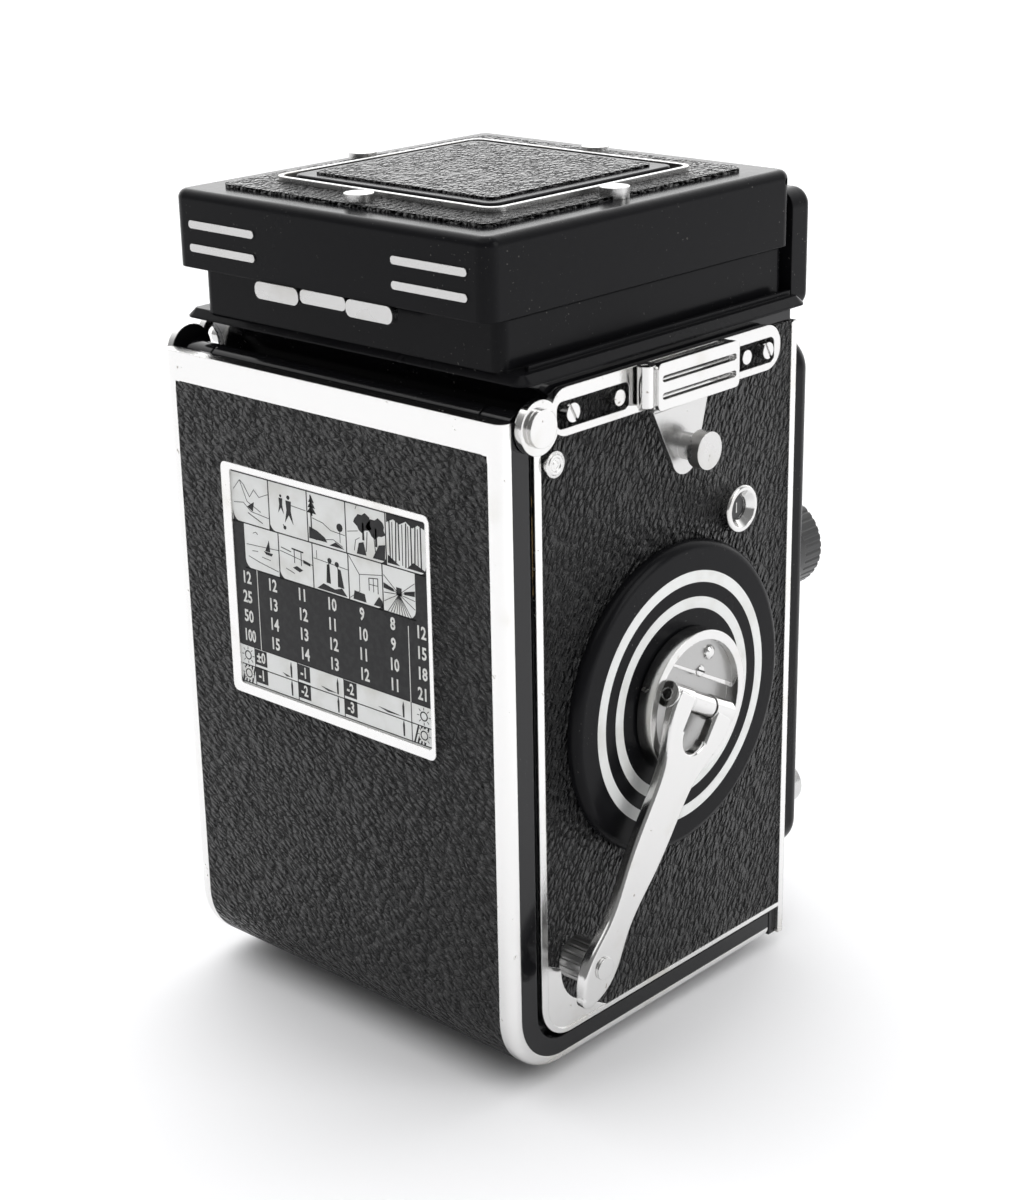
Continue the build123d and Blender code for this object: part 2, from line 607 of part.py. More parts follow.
def lens_board():
    board = along(rounded(-BOARD_HALF, BOARD_HALF, BOARD_LOW, BOARD_HIGH, 6.0), BOARD_FRONT, BOARD_BACK)
    board = fillet(board.faces().sort_by(Axis.Y)[0].edges(), 3.0)
    board -= along(rounded(-33.2, 33.2, 14.3, 108.7, 4.2), -46.2, -30)
    board += along(rounded(-12, 12, TAKING_Z + 18.2, VIEWING_Z - 17.6, 2), -50.0, -47.5)
    board += tube_y(0, TAKING_Z, SLEEVE_R - 0.3, SLEEVE_R - 1.5, -47.0, -33.6)
    for x in (-ROD_X, ROD_X):
        for z in (ROD_LOW, ROD_HIGH):
            board += rod_y(x, z, ROD_R, -47.0, -28.8)
    board -= rod_y(0, TAKING_Z, 15.0, -60, -40)
    board -= rod_y(0, VIEWING_Z, 14.0, -60, -40)
    board -= rod_y(*RELEASE, 2.5, -60, -38)
    return board


def lens_barrel(z, outer, inner, rear):
    barrel = rod_y(0, z, outer, BARREL_FRONT, BOARD_FRONT) + rod_y(0, z, inner, BOARD_FRONT, rear)
    barrel -= rod_y(0, z, inner - 1.4, BARREL_FRONT - 1, rear + 1)
    return barrel


def bayonet_ring(z):
    ring = tube_y(0, z, 17.6, BAYONET_IN, BARREL_FRONT - 3.0, BARREL_FRONT)
    for k in range(3):
        angle = radians(90 + 120 * k)
        notch = Pos(16.6 * cos(angle), z + 16.6 * sin(angle)) * Rot(0, 0, 90 + 120 * k) * Rectangle(1.4, 7)
        ring -= along(notch, BARREL_FRONT - 4, BARREL_FRONT - 2.0)
    return ring


def lens_glass(z, radius, front):
    """A biconvex element, the overlap of two large balls."""
    curve = 34.0
    near = Pos(0, front + curve, z) * Sphere(curve)
    far = Pos(0, front + 7.0 - curve, z) * Sphere(curve)
    return near & far & rod_y(0, z, radius, -70, -30)


def iris():
    ring = Pos(0, TAKING_Z) * Circle(13.5) - Pos(0, TAKING_Z) * RegularPolygon(6.5, 5)
    return along(ring, -46.4, -45.8)


save("lens_board", lens_board())
save("lens_barrels", lens_barrel(TAKING_Z, 17.6, 15.0, -40.0), lens_barrel(VIEWING_Z, 17.0, 14.0, -40.0))
save("bayonet_rings", bayonet_ring(TAKING_Z), bayonet_ring(VIEWING_Z))
save("lens_elements", lens_glass(TAKING_Z, 13.55, -55.6), lens_glass(VIEWING_Z, 12.55, -55.6))
save("iris_blades", iris())

WHEEL_X, WHEEL_Z, WHEEL_R = 24.0, 68.8, 8.5


def setting_wheel(x):
    wheel = rod_y(x, WHEEL_Z, WHEEL_R, -55.8, -49.4) + rod_y(x, WHEEL_Z, 2.5, -49.4, -48.05)
    for k in range(36):
        angle = radians(10 * k)
        wheel -= rod_y(x + 8.75 * cos(angle), WHEEL_Z + 8.75 * sin(angle), 0.42, -57, -51)
    return wheel


save("shutter_speed_wheel", setting_wheel(-WHEEL_X))
save("aperture_wheel", setting_wheel(WHEEL_X))


def release_button():
    x, z = RELEASE
    return rod_y(x, z, 4.2, -53.5, -51.2) + rod_y(x, z, 2.4, -51.2, -46.0)


def timer_lever():
    stem = rod_y(22.5, 30.0, 3.0, -51.0, -48.1)
    blade = along(stadium(20.0, 25.5, 14.0, 1.9, 60), -50.8, -49.2)
    return stem + blade + rod_y(17.0, 20.4, 1.5, -53.4, -50.8)


def sync_socket():
    x, z = 27.0, 21.5
    return tube_y(x, z, 3.6, 2.2, -51.5, BOARD_FRONT) + rod_y(x, z, 2.2, -49.0, BOARD_FRONT) \
        + rod_y(x, z, 0.7, -50.8, -49.0)


save("release_button", release_button())
save("timer_lever", timer_lever())
save("sync_socket", sync_socket())

# Viewing hood: base, front shield, hinged lid and three folding walls
BASE_HALF = 33.72
BASE_REAR = 30.46
BASE_FRONT = -40.6
BASE_TOP = 126.9
WALL_PIVOT_X, SIDE_PIVOT_Z = 31.3, 127.7
REAR_PIVOT_Y, REAR_PIVOT_Z = 28.0, 129.1
WALL_HIGH = 30.6
WALL_T = 0.6


def hood_base():
    base = upward(rounded(-38.6, 38.6, -41.0, 31.0, 2.0), BODY_TOP, 119.2)
    base = chamfer(base.faces().sort_by(Axis.Z)[-1].edges(), 1.2)
    base -= block(-29.0, 29.0, SCREEN[0], SCREEN[1], 110, 125)
    rim = upward(rounded(-BASE_HALF, BASE_HALF, BASE_FRONT, BASE_REAR, 2.0), 119.0, BASE_TOP)
    rim -= upward(rounded(-32.3, 32.3, BASE_FRONT + 1.4, BASE_REAR - 1.4, 1.0), 110, 130)
    for x in (-36.2, 35.4):
        rim += block(x, x + 0.8, -39.0, 27.0, 119.0, 120.0)
    return base + rim


def nose_plate():
    plate = along(rounded(-35.0, 35.0, 115.5, 136.4, 3.0), -46.5, -41.0)
    return fillet(plate.faces().sort_by(Axis.Y)[0].edges(), 1.6)


save("hood_base", hood_base())
save("nose_plate", nose_plate())


def lid_shell():
    outline = rounded(-LID_HALF, LID_HALF, LID_FRONT, LID_REAR, 2.5)
    lid = upward(outline, LID_LOW, LID_TOP)
    lid = fillet(lid.faces().sort_by(Axis.Z)[-1].edges(), 1.5)
    lid -= upward(rounded(-34.1, 34.1, LID_FRONT + 1.3, LID_REAR - 1.3, 1.4), 120, 138.6)
    for x in (-LID_HALF, LID_HALF):
        lid -= rod_x(LID_PIVOT_Y, LID_PIVOT_Z, 0.6, x - 1, x + 1)
    return lid


LID_LEATHER = (-29.7, 29.7, -34.3, 28.9)
FLAP_RIM = (-22.6, 22.6, -24.8, 19.6)
FLAP_LEATHER = (-20.0, 20.0, -22.1, 17.0)
WIRE = (-25.0, 25.0, -27.4, 22.0)
STUDS = ((-28.4, -2.4), (28.4, -2.4), (0.0, 26.0), (0.0, -31.0))


def lid_leather():
    sheet = upward(rounded(*LID_LEATHER, 2.0), LID_TOP, LEATHER_TOP)
    sheet -= upward(rounded(*FLAP_RIM, 2.0), 135, 145)
    for x, y in STUDS:
        sheet -= rod_z(x, y, 2.4, 135, 145)
    flap = upward(rounded(*FLAP_LEATHER, 1.2), 141.5, 142.05)
    return sheet, flap


def lid_wire():
    x0, x1, y0, y1 = WIRE
    loop = upward(rounded(x0, x1, y0, y1, 3.0), LEATHER_TOP, 141.6)
    return loop - upward(rounded(x0 + 0.9, x1 - 0.9, y0 + 0.9, y1 - 0.9, 2.1), 135, 145)


def lid_fittings():
    pieces = [rod_z(x, y, 2.4, LID_TOP, 142.0) for x, y in STUDS]
    for z in (134.8, 130.95):
        for x in (-23.4, 23.4):
            bar = along(rounded(x - 7.9, x + 7.9, z - 0.65, z + 0.65, 0.6), LID_REAR, LID_REAR + 0.25)
            pieces.append(bar)
    for x0, x1 in ((-15.6, -5.4), (5.4, 15.6)):
        pieces.append(along(rounded(x0, x1, 124.7, LID_LOW, 1.2), 33.6, 35.0))
    pieces.append(along(rounded(-5.2, 5.2, 125.3, LID_LOW, 0.9), 33.7, 34.8))
    return pieces


def finder_flap():
    flap = upward(rounded(*FLAP_RIM, 2.0), LID_TOP, 141.7)
    flap = fillet(flap.faces().sort_by(Axis.Z)[-1].edges(), 0.4)
    return flap - upward(rounded(*FLAP_LEATHER, 1.2), 141.5, 145)


save("lid_shell", lid_shell())
save("lid_leather", *lid_leather())
save("lid_fittings", lid_wire(), *lid_fittings())
save("finder_flap", finder_flap())

MAGNIFIER_Y, MAGNIFIER_R = -6.0, 14.0
ring = rod_z(0, MAGNIFIER_Y, MAGNIFIER_R, 133.0, 137.0) - rod_z(0, MAGNIFIER_Y, MAGNIFIER_R - 1.4, 130, 140)
ring += block(-4, 4, -38.0, MAGNIFIER_Y - 13.0, 135.6, 137.0) + block(-4, 4, -38.0, -36.0, 135.6, 138.6)
save("magnifier_frame", ring)
glass = Pos(0, MAGNIFIER_Y, 135.0 - 38.0) * Sphere(40.0) & Pos(0, MAGNIFIER_Y, 135.0 + 38.0) * Sphere(40.0)
save("magnifier_lens", glass & rod_z(0, MAGNIFIER_Y, MAGNIFIER_R - 1.4, 130, 140))


def side_wall(side):
    """Folded flat: root on its pivot, reach towards the middle, rear corner cut at 45 degrees."""
    edge = Polyline(
        (WALL_PIVOT_X, -29.0), (WALL_PIVOT_X, 26.0), (WALL_PIVOT_X - WALL_HIGH, 26.0 - WALL_HIGH),
        (WALL_PIVOT_X - WALL_HIGH, -23.5), (WALL_PIVOT_X, -29.0))
    wall = upward(make_face(edge), SIDE_PIVOT_Z - WALL_T / 2, SIDE_PIVOT_Z + WALL_T / 2)
    wall += rod_y(WALL_PIVOT_X, SIDE_PIVOT_Z, 0.45, -29.0, 26.0)
    return wall if side > 0 else mirrored(wall)


def rear_wall():
    wall = rounded(-30.2, 30.2, REAR_PIVOT_Y - WALL_HIGH, REAR_PIVOT_Y, 1.0)
    wall = upward(wall, REAR_PIVOT_Z - WALL_T / 2, REAR_PIVOT_Z + WALL_T / 2)
    return wall + rod_x(REAR_PIVOT_Y, REAR_PIVOT_Z, 0.45, -29.2, 29.2)


save("crank_side_hood_wall", side_wall(-1))
save("focus_side_hood_wall", side_wall(1))
save("rear_hood_wall", rear_wall())
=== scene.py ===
from math import cos, pi, radians, sin

import bmesh
import bpy
from mathutils import Matrix, Vector


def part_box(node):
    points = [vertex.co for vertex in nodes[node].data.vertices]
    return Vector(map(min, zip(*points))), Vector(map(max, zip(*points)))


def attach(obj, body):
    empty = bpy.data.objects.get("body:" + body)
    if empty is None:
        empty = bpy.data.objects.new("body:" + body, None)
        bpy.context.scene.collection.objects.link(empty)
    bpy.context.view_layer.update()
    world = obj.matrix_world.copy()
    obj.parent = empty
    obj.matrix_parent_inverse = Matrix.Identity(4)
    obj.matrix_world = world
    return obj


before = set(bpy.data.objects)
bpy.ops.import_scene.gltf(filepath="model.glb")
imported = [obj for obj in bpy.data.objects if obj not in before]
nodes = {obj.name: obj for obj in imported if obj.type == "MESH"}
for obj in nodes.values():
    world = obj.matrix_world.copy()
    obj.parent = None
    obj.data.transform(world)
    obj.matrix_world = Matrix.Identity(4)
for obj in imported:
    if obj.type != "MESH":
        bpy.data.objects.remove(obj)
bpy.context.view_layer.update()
MM = 0.001

# ---------------------------------------------------------------- studio
# A seamless pale table that runs out of sight, under one very broad soft light from above,
# with a bright wall behind the object and a darker room behind the viewer.
TABLE_HALF = 6.0
AWAY = Vector((sin(radians(42.8)), -cos(radians(42.8)), 0))

floor_mesh = bmesh.new()
bmesh.ops.create_grid(floor_mesh, x_segments=2, y_segments=2, size=TABLE_HALF)
floor_data = bpy.data.meshes.new("floor")
floor_mesh.to_mesh(floor_data)
floor = bpy.data.objects.new("floor", floor_data)
bpy.context.scene.collection.objects.link(floor)


class Wire:
    """A socket of a node tree. Arithmetic on it adds Math nodes, make() any other node."""

    def __init__(self, tree, socket=None):
        self.tree, self.socket = tree, socket

    def make(self, kind, settings=None, sockets=None, output=0):
        prefix = "" if kind.startswith(("Geometry", "Function")) else "ShaderNode"
        node = self.tree.nodes.new(prefix + kind)
        for name, value in (settings or {}).items():
            setattr(node, name, value)
        for key, value in (sockets or {}).items():
            if isinstance(value, Wire):
                self.tree.links.new(value.socket, node.inputs[key])
            else:
                node.inputs[key].default_value = value
        return Wire(self.tree, node.outputs[output])

    def maths(self, operation, *values):
        return self.make("Math", {"operation": operation}, dict(enumerate(values)))

    def __add__(self, other):
        return self.maths("ADD", self, other)

    def __radd__(self, other):
        return self.maths("ADD", other, self)

    def __sub__(self, other):
        return self.maths("SUBTRACT", self, other)

    def __rsub__(self, other):
        return self.maths("SUBTRACT", other, self)

    def __mul__(self, other):
        return self.maths("MULTIPLY", self, other)

    def __rmul__(self, other):
        return self.maths("MULTIPLY", other, self)

    def __truediv__(self, other):
        return self.maths("DIVIDE", self, other)

    def blend(self, first, second):
        """The colour first where this is 0 and second where it is 1."""
        return self.make("Mix", {"data_type": "RGBA"}, {0: self, 6: first, 7: second}, 2)

    def step(self, low, high):
        """0 below low, 1 above high, smooth between."""
        return self.make("MapRange", {"interpolation_type": "SMOOTHSTEP"}, {0: self, 1: low, 2: high})

    def noise(self, scale, detail=3.0):
        """Cloudy noise over this place, with scale features to the metre."""
        return self.make("TexNoise", {}, {"Vector": self, "Scale": scale, "Detail": detail})


def new_finish(name):
    """A material, and the place on the object that its pattern follows."""
    material = bpy.data.materials.new(name)
    material.use_nodes = True
    material.node_tree.nodes.clear()
    return material, Wire(material.node_tree).make("TexCoord", {}, {}, 3)


def close_finish(spot, **sockets):
    """Ends a material in one shader with these sockets."""
    named = {key.replace("_", " "): value for key, value in sockets.items()}
    shader = spot.make("BsdfPrincipled", {}, named)
    end = spot.tree.nodes.new("ShaderNodeOutputMaterial")
    spot.tree.links.new(shader.socket, end.inputs["Surface"])


paper, spot = new_finish("pale_table")
close_finish(spot, Base_Color=(0.90, 0.90, 0.91, 1), Roughness=0.8)
floor_data.materials.append(paper)

ROOM, WALL, SEEN = 0.26, 2.3, 0.97   # brightness of the room, of the wall behind, and of the backdrop
world = bpy.data.worlds.new("studio")
bpy.context.scene.world = world
world.use_nodes = True
sky = Wire(world.node_tree).make("TexCoord", {}, {}, 0)
toward_wall = sky.make("VectorMath", {"operation": "DOT_PRODUCT"}, {0: sky, 1: AWAY}, 1).step(-0.1, 0.8)
to_camera = sky.make("LightPath")
glow = ROOM + toward_wall * (WALL - ROOM)
shown = to_camera * SEEN + (1 - to_camera) * glow
world.node_tree.links.new(shown.socket, world.node_tree.nodes["Background"].inputs[1])
world.node_tree.nodes["Background"].inputs[0].default_value = (1.0, 1.0, 1.0, 1)


def lamp(name, kind, spot_from, aim, energy, **settings):
    light = bpy.data.lights.new(name, kind)
    light.energy = energy
    for key, value in settings.items():
        setattr(light, key, value)
    holder = bpy.data.objects.new(name, light)
    holder.location = spot_from
    holder.rotation_euler = (Vector(aim) - Vector(spot_from)).to_track_quat("-Z", "Y").to_euler()
    bpy.context.scene.collection.objects.link(holder)


lamp("ceiling", "SUN", (0.10, 0.16, 1.0), (0, 0, 0), 1.55, angle=radians(75))
lamp("crank_side_window", "AREA", (-0.75, -0.30, 0.42), (0, 0, 0.06), 2.2, shape="RECTANGLE", size=0.4,
     size_y=0.6)

# The view: a three-quarter view of the back door and the crank side from a little above.
CAMERA_PLACE = Vector((-262.53, 276.24, 207.65)) * MM
CAMERA_TURN, CAMERA_RISE, CAMERA_ROLL = radians(222.776), radians(20.033), radians(-1.09)
back = Vector((
    sin(CAMERA_TURN) * cos(CAMERA_RISE), -cos(CAMERA_TURN) * cos(CAMERA_RISE), sin(CAMERA_RISE)))
right = Vector((cos(CAMERA_TURN), sin(CAMERA_TURN), 0))
up = back.cross(right)
rolled_right = right * cos(CAMERA_ROLL) + up * sin(CAMERA_ROLL)
rolled_up = up * cos(CAMERA_ROLL) - right * sin(CAMERA_ROLL)
lens = bpy.data.cameras.new("camera")
lens.lens = 69.4
lens.clip_start = 0.01
camera = bpy.data.objects.new("camera", lens)
camera.matrix_world = Matrix((
    (rolled_right.x, rolled_up.x, back.x, CAMERA_PLACE.x),
    (rolled_right.y, rolled_up.y, back.y, CAMERA_PLACE.y),
    (rolled_right.z, rolled_up.z, back.z, CAMERA_PLACE.z),
    (0, 0, 0, 1)))
bpy.context.scene.collection.objects.link(camera)
bpy.context.scene.camera = camera
bpy.context.scene.view_settings.view_transform = "Standard"


def coat(material, *names):
    """Gives whole CAD nodes one finish."""
    for name in names:
        slots = nodes[name].data.materials
        slots.clear()
        slots.append(material)


# ---------------------------------------------------------------- body, door and hood in black enamel
# Cast aluminium and pressed sheet under baked black enamel: glossy on the body, shoulder and door
# rims, a little duller on the disc and the hood, with the dust and faint waves of old lacquer.
def enamel(name, gloss, ripple, soften, shine):
    material, spot = new_finish(name)
    cloud = spot.noise(90.0, 4.0)
    speck = spot.noise(1700.0, 2.0)
    rub = spot.noise(35.0, 5.0).step(0.52, 0.75)
    dust = speck.step(0.69, 0.76) * cloud.step(0.45, 0.6)
    colour = (dust * 0.5).blend((0.0070, 0.0070, 0.0080, 1), (0.15, 0.145, 0.135, 1))
    rounded = spot.make("Bevel", {"samples": 3}, {"Radius": soften * MM})
    wave = spot.make("Bump", {}, {"Strength": ripple, "Distance": 0.0002, "Height": spot.noise(520.0),
                                  "Normal": rounded})
    close_finish(spot, Base_Color=colour, Roughness=gloss + cloud * 0.08 + rub * 0.08 + dust * 0.25,
                 Normal=wave, Specular_IOR_Level=shine)
    return material


gloss_enamel = enamel("gloss_enamel", 0.07, 0.03, 0.35, 0.30)
satin_enamel = enamel("satin_enamel", 0.17, 0.12, 0.30, 0.07)
matt_black = enamel("matt_chamber_black", 0.55, 0.35, 0.15, 0.30)
coat(gloss_enamel, "body_casting", "door_shell", "side_covers")
coat(satin_enamel, "crank_disc", "hood_base", "lid_shell", "nose_plate", "finder_flap", "lens_board",
     "magnifier_frame")
coat(matt_black, "light_chamber", "film_gate", "crank_side_hood_wall", "focus_side_hood_wall",
     "rear_hood_wall")


# ---------------------------------------------------------------- leather covering
# Thin goatskin glued on: small pebbles drawn out into short slanting wrinkles. Their creases are painted
# near black as painted shade, and their crowns are painted lighter, partly as painted highlight and partly
# with random wear. Each panel was cut with its grain in its own direction.
def pebble_leather(name, turn, cell):
    material, spot = new_finish(name)
    wander = spot.make("TexNoise", {}, {"Vector": spot, "Scale": 380.0, "Detail": 3.0}, 1)
    pushed = spot.make("VectorMath", {"operation": "MULTIPLY_ADD"},
                       {0: wander, 1: (0.0011, 0.0011, 0.0011), 2: spot})
    along_grain = spot.make("Mapping", {"vector_type": "TEXTURE"},
                            {"Vector": pushed, "Rotation": turn, "Scale": cell})
    dome = spot.make("TexVoronoi", {"feature": "SMOOTH_F1"},
                     {"Vector": along_grain, "Scale": 1.0, "Smoothness": 0.45})
    edge = spot.make("TexVoronoi", {"feature": "DISTANCE_TO_EDGE"}, {"Vector": along_grain, "Scale": 1.0})
    depth = spot.noise(420.0, 2.0).step(0.35, 0.60)
    crease = (1 - edge.step(0.0, 0.16)) * (0.2 + depth * 0.8)
    crown = 1 - dome.step(0.05, 0.75)
    worn = spot.noise(45.0, 4.0).step(0.55, 0.8)
    height = crown * 1.1 - crease * 0.5 + spot.noise(1500.0, 3.0) * 0.5
    bump = spot.make("Bump", {}, {"Strength": 1.0, "Distance": 0.0011, "Height": height})
    # painted highlight: the pebble crowns are painted lighter, mixed with random patches of wear
    top = (worn * 0.5 + crown * 0.5).blend((0.004, 0.004, 0.0045, 1), (0.020, 0.020, 0.021, 1))
    # painted shade: the creases between the pebbles are painted near black
    colour = crease.blend(top, (0.0015, 0.0015, 0.002, 1))
    close_finish(spot, Base_Color=colour, Roughness=0.24 + crease * 0.5 - worn * 0.05, Normal=bump,
                 Specular_IOR_Level=0.34)
    return material


side_leather = pebble_leather("side_leather", (radians(28), 0, 0), (0.00095, 0.00095, 0.0018))
door_leather = pebble_leather("door_leather", (0, radians(71), 0), (0.00085, 0.00085, 0.0018))
lid_leather = pebble_leather("lid_leather", (radians(90), 0, radians(28)), (0.0008, 0.0008, 0.0018))
coat(side_leather, "side_leathers")
coat(door_leather, "door_leather")
coat(lid_leather, "lid_leather")


# ---------------------------------------------------------------- bright metal
# Satin chrome on brass and polished chrome on steel: a fine brushed grain, slightly warm
# duller patches where hands have rubbed it, and a few small pits.
def chrome(name, shade, rough_low, grain, soften):
    material, spot = new_finish(name)
    cloud = spot.noise(70.0, 5.0)
    pit = spot.noise(700.0, 3.0).step(0.70, 0.76)
    warm = cloud.step(0.55, 0.75)
    dull = (shade * 0.88, shade * 0.86, shade * 0.81, 1)
    colour = warm.blend((shade, shade * 0.995, shade * 0.985, 1), dull)
    marked = (pit * 0.55).blend(colour, (0.22, 0.19, 0.15, 1))
    rounded = spot.make("Bevel", {"samples": 3}, {"Radius": soften * MM})
    bump = spot.make("Bump", {}, {"Strength": grain, "Distance": 0.00006, "Height": spot.noise(2600.0, 2.0),
                                  "Normal": rounded})
    close_finish(spot, Base_Color=marked, Metallic=1.0, Roughness=rough_low + warm * 0.10 + pit * 0.2,
                 Normal=bump)
    return material


satin_chrome = chrome("satin_chrome", 0.80, 0.22, 0.30, 0.25)
bright_chrome = chrome("bright_chrome", 0.66, 0.13, 0.08, 0.22)
matt_chrome = chrome("matt_chrome", 0.56, 0.27, 0.25, 0.15)
ground_steel = chrome("ground_steel", 0.40, 0.28, 0.4, 0.15)
coat(satin_chrome, "door_frame", "side_trims", "exposure_table_frame")
coat(bright_chrome, "strap_plates", "strap_screws", "counter_bezel", "crank_arm", "bayonet_rings",
     "sync_socket", "crank_hub")
coat(matt_chrome, "lid_fittings", "release_button", "timer_lever", "door_latch", "tripod_bush",
     "crank_side_strap_tongue", "focus_side_strap_tongue")
coat(ground_steel, "body_pins", "upper_film_roller", "lower_film_roller", "iris_blades", "pressure_plate",
     "pressure_springs", "crank_knob")


# ---------------------------------------------------------------- gears
# Hobbed brass gears of the winding train, turned to a dull gold under a film of oil.
def brass():
    material, spot = new_finish("cut_brass")
    cloud = spot.noise(400.0, 4.0)
    colour = cloud.blend((0.62, 0.42, 0.16, 1), (0.42, 0.27, 0.10, 1))
    close_finish(spot, Base_Color=colour, Metallic=1.0, Roughness=0.25 + cloud * 0.15)
    return material


coat(brass(), "crank_gear", "idler_gear", "takeup_drive_gear")


# ---------------------------------------------------------------- white inlays, black knobs, glass, feet
# Paint run into the disc's grooves, the printed plate, moulded and turned black knobs, coated
# and plain glass, the silvered mirror and the door's rubber feet.
def white_enamel():
    material, spot = new_finish("white_enamel")
    cloud = spot.noise(160.0, 4.0)
    colour = cloud.step(0.45, 0.75).blend((0.76, 0.77, 0.76, 1), (0.64, 0.64, 0.61, 1))
    close_finish(spot, Base_Color=colour, Roughness=0.30 + cloud * 0.15)
    return material


def black_knob():
    material, spot = new_finish("black_knob")
    cloud = spot.noise(500.0)
    rounded = spot.make("Bevel", {"samples": 3}, {"Radius": 0.2 * MM})
    close_finish(spot, Base_Color=cloud.blend((0.008, 0.008, 0.009, 1), (0.022, 0.022, 0.022, 1)),
                 Roughness=0.26 + cloud * 0.2, Normal=rounded)
    return material


def coated_glass():
    material, spot = new_finish("coated_glass")
    close_finish(spot, Base_Color=(0.80, 0.84, 0.95, 1), Roughness=spot.noise(60.0, 2.0) * 0.04,
                 Transmission_Weight=1.0, IOR=1.52)
    return material


def silvering():
    material, spot = new_finish("silvered_mirror")
    close_finish(spot, Base_Color=(0.88, 0.89, 0.90, 1), Metallic=1.0, Roughness=spot.noise(80.0) * 0.05)
    return material


def foot_rubber():
    material, spot = new_finish("foot_rubber")
    grain = spot.noise(1500.0)
    bump = spot.make("Bump", {}, {"Strength": 0.4, "Distance": 0.0001, "Height": grain})
    close_finish(spot, Base_Color=grain.blend((0.012, 0.012, 0.012, 1), (0.03, 0.03, 0.03, 1)),
                 Roughness=0.75, Normal=bump)
    return material


white_paint = white_enamel()
knob_black = black_knob()
coat(white_paint, "crank_disc_rings", "exposure_table")
coat(knob_black, "focus_knob", "supply_spool_knob", "takeup_spool_knob", "shutter_speed_wheel",
     "aperture_wheel", "lens_barrels", "supply_spool", "takeup_spool")
coat(coated_glass(), "lens_elements", "magnifier_lens", "focusing_screen")
coat(silvering(), "reflex_mirror")
coat(foot_rubber(), "door_feet")


# ---------------------------------------------------------------- printing on the exposure table
# The enamelled aluminium plate on the door helps to choose an exposure: two rows of little
# outdoor scenes, a black field of light values, and two rows for the season and the sun.
def ink(name, colour, pale):
    material, spot = new_finish(name)
    patch = spot.noise(900.0, 3.0).step(0.35, 0.75)
    close_finish(spot, Base_Color=patch.blend(colour, pale), Roughness=0.28 + patch * 0.15,
                 Specular_IOR_Level=0.22)
    return material


# this black serves the printing, and also as painted shade in the screw slots
black_print_and_shade = ink("black_print_and_shade", (0.010, 0.010, 0.011, 1), (0.022, 0.022, 0.023, 1))
white_ink = ink("white_ink", (0.74, 0.74, 0.72, 1), (0.62, 0.62, 0.60, 1))


def prisms(name, outlines, near, far, face, material):
    """Thin raised print: each outline is a list of (across, height) places in millimetres."""
    art = bmesh.new()
    for outline in outlines:
        rings = []
        for level in (near, far):
            rings.append([art.verts.new(face(u, v, level)) for u, v in outline])
        art.faces.new(rings[0])
        art.faces.new(reversed(rings[1]))
        for i in range(len(outline)):
            j = (i + 1) % len(outline)
            art.faces.new((rings[0][j], rings[0][i], rings[1][i], rings[1][j]))
    bmesh.ops.recalc_face_normals(art, faces=art.faces)
    data = bpy.data.meshes.new(name)
    art.to_mesh(data)
    art.free()
    piece = bpy.data.objects.new(name, data)
    bpy.context.scene.collection.objects.link(piece)
    data.materials.append(material)
    return piece


def stroke(points, width):
    """Outlines of a line of this width through the points, one for each straight run."""
    bars = []
    for (u0, v0), (u1, v1) in zip(points, points[1:]):
        run = Vector((u1 - u0, v1 - v0))
        if run.length < 1e-6:
            continue
        ahead = run.normalized() * width * 0.35
        side = Vector((-run.y, run.x)).normalized() * width / 2
        a, b = Vector((u0, v0)) - ahead, Vector((u1, v1)) + ahead
        bars.append([tuple(a + side), tuple(b + side), tuple(b - side), tuple(a - side)])
    return bars


def arc(u, v, radius, start, end, steps):
    turns = [radians(start + (end - start) * i / steps) for i in range(steps + 1)]
    return [(u + radius * cos(t), v + radius * sin(t)) for t in turns]


def lettering(name, labels, depth, place, material):
    """Upright figures: labels are (text, u, v, height, squeeze), place maps a flat point."""
    art = bmesh.new()
    for text, u, v, height, squeeze in labels:
        words = bpy.data.curves.new(name, "FONT")
        words.body, words.size, words.extrude = text, height * 1.42, depth
        words.align_x, words.align_y = "CENTER", "CENTER"
        words.offset, words.resolution_u = height * 0.035, 2
        holder = bpy.data.objects.new(name, words)
        flat = bpy.data.meshes.new_from_object(holder)
        for vert in flat.vertices:
            vert.co = place(u + vert.co.x * squeeze, v + vert.co.y, vert.co.z)
        art.from_mesh(flat)
        bpy.data.objects.remove(holder)
        bpy.data.curves.remove(words)
        bpy.data.meshes.remove(flat)
    bmesh.ops.remove_doubles(art, verts=art.verts, dist=1e-7)
    bmesh.ops.recalc_face_normals(art, faces=art.faces)
    data = bpy.data.meshes.new(name)
    art.to_mesh(data)
    art.free()
    piece = bpy.data.objects.new(name, data)
    bpy.context.scene.collection.objects.link(piece)
    data.materials.append(material)
    return piece


TABLE_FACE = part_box("exposure_table")[1].y
TABLE_LEFT, TABLE_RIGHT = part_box("exposure_table")[1].x / MM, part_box("exposure_table")[0].x / MM
TABLE_LOW, TABLE_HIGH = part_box("exposure_table")[0].z / MM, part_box("exposure_table")[1].z / MM
WIDE, TALL = TABLE_LEFT - TABLE_RIGHT, TABLE_HIGH - TABLE_LOW
BLACK_UP, WHITE_UP = 0.035, 0.06      # how far each layer of print stands proud
FIELD_LOW, FIELD_HIGH, ROW_HIGH = 7.1, 21.4, 29.3
LEFT_COLUMN, RIGHT_COLUMN = 2.6, WIDE - 2.9
TOP_EDGES = (0.15, 9.2, 18.5, 27.5, 36.6, WIDE - 0.3)
LOW_EDGES = (LEFT_COLUMN, 11.1, 19.3, 27.7, 35.5, RIGHT_COLUMN)


def on_table(u, v, level):
    """u from the table's left edge and v from its foot, as read from behind the door."""
    return Vector(((TABLE_LEFT - u) * MM, TABLE_FACE + level * MM, (TABLE_LOW + v) * MM))


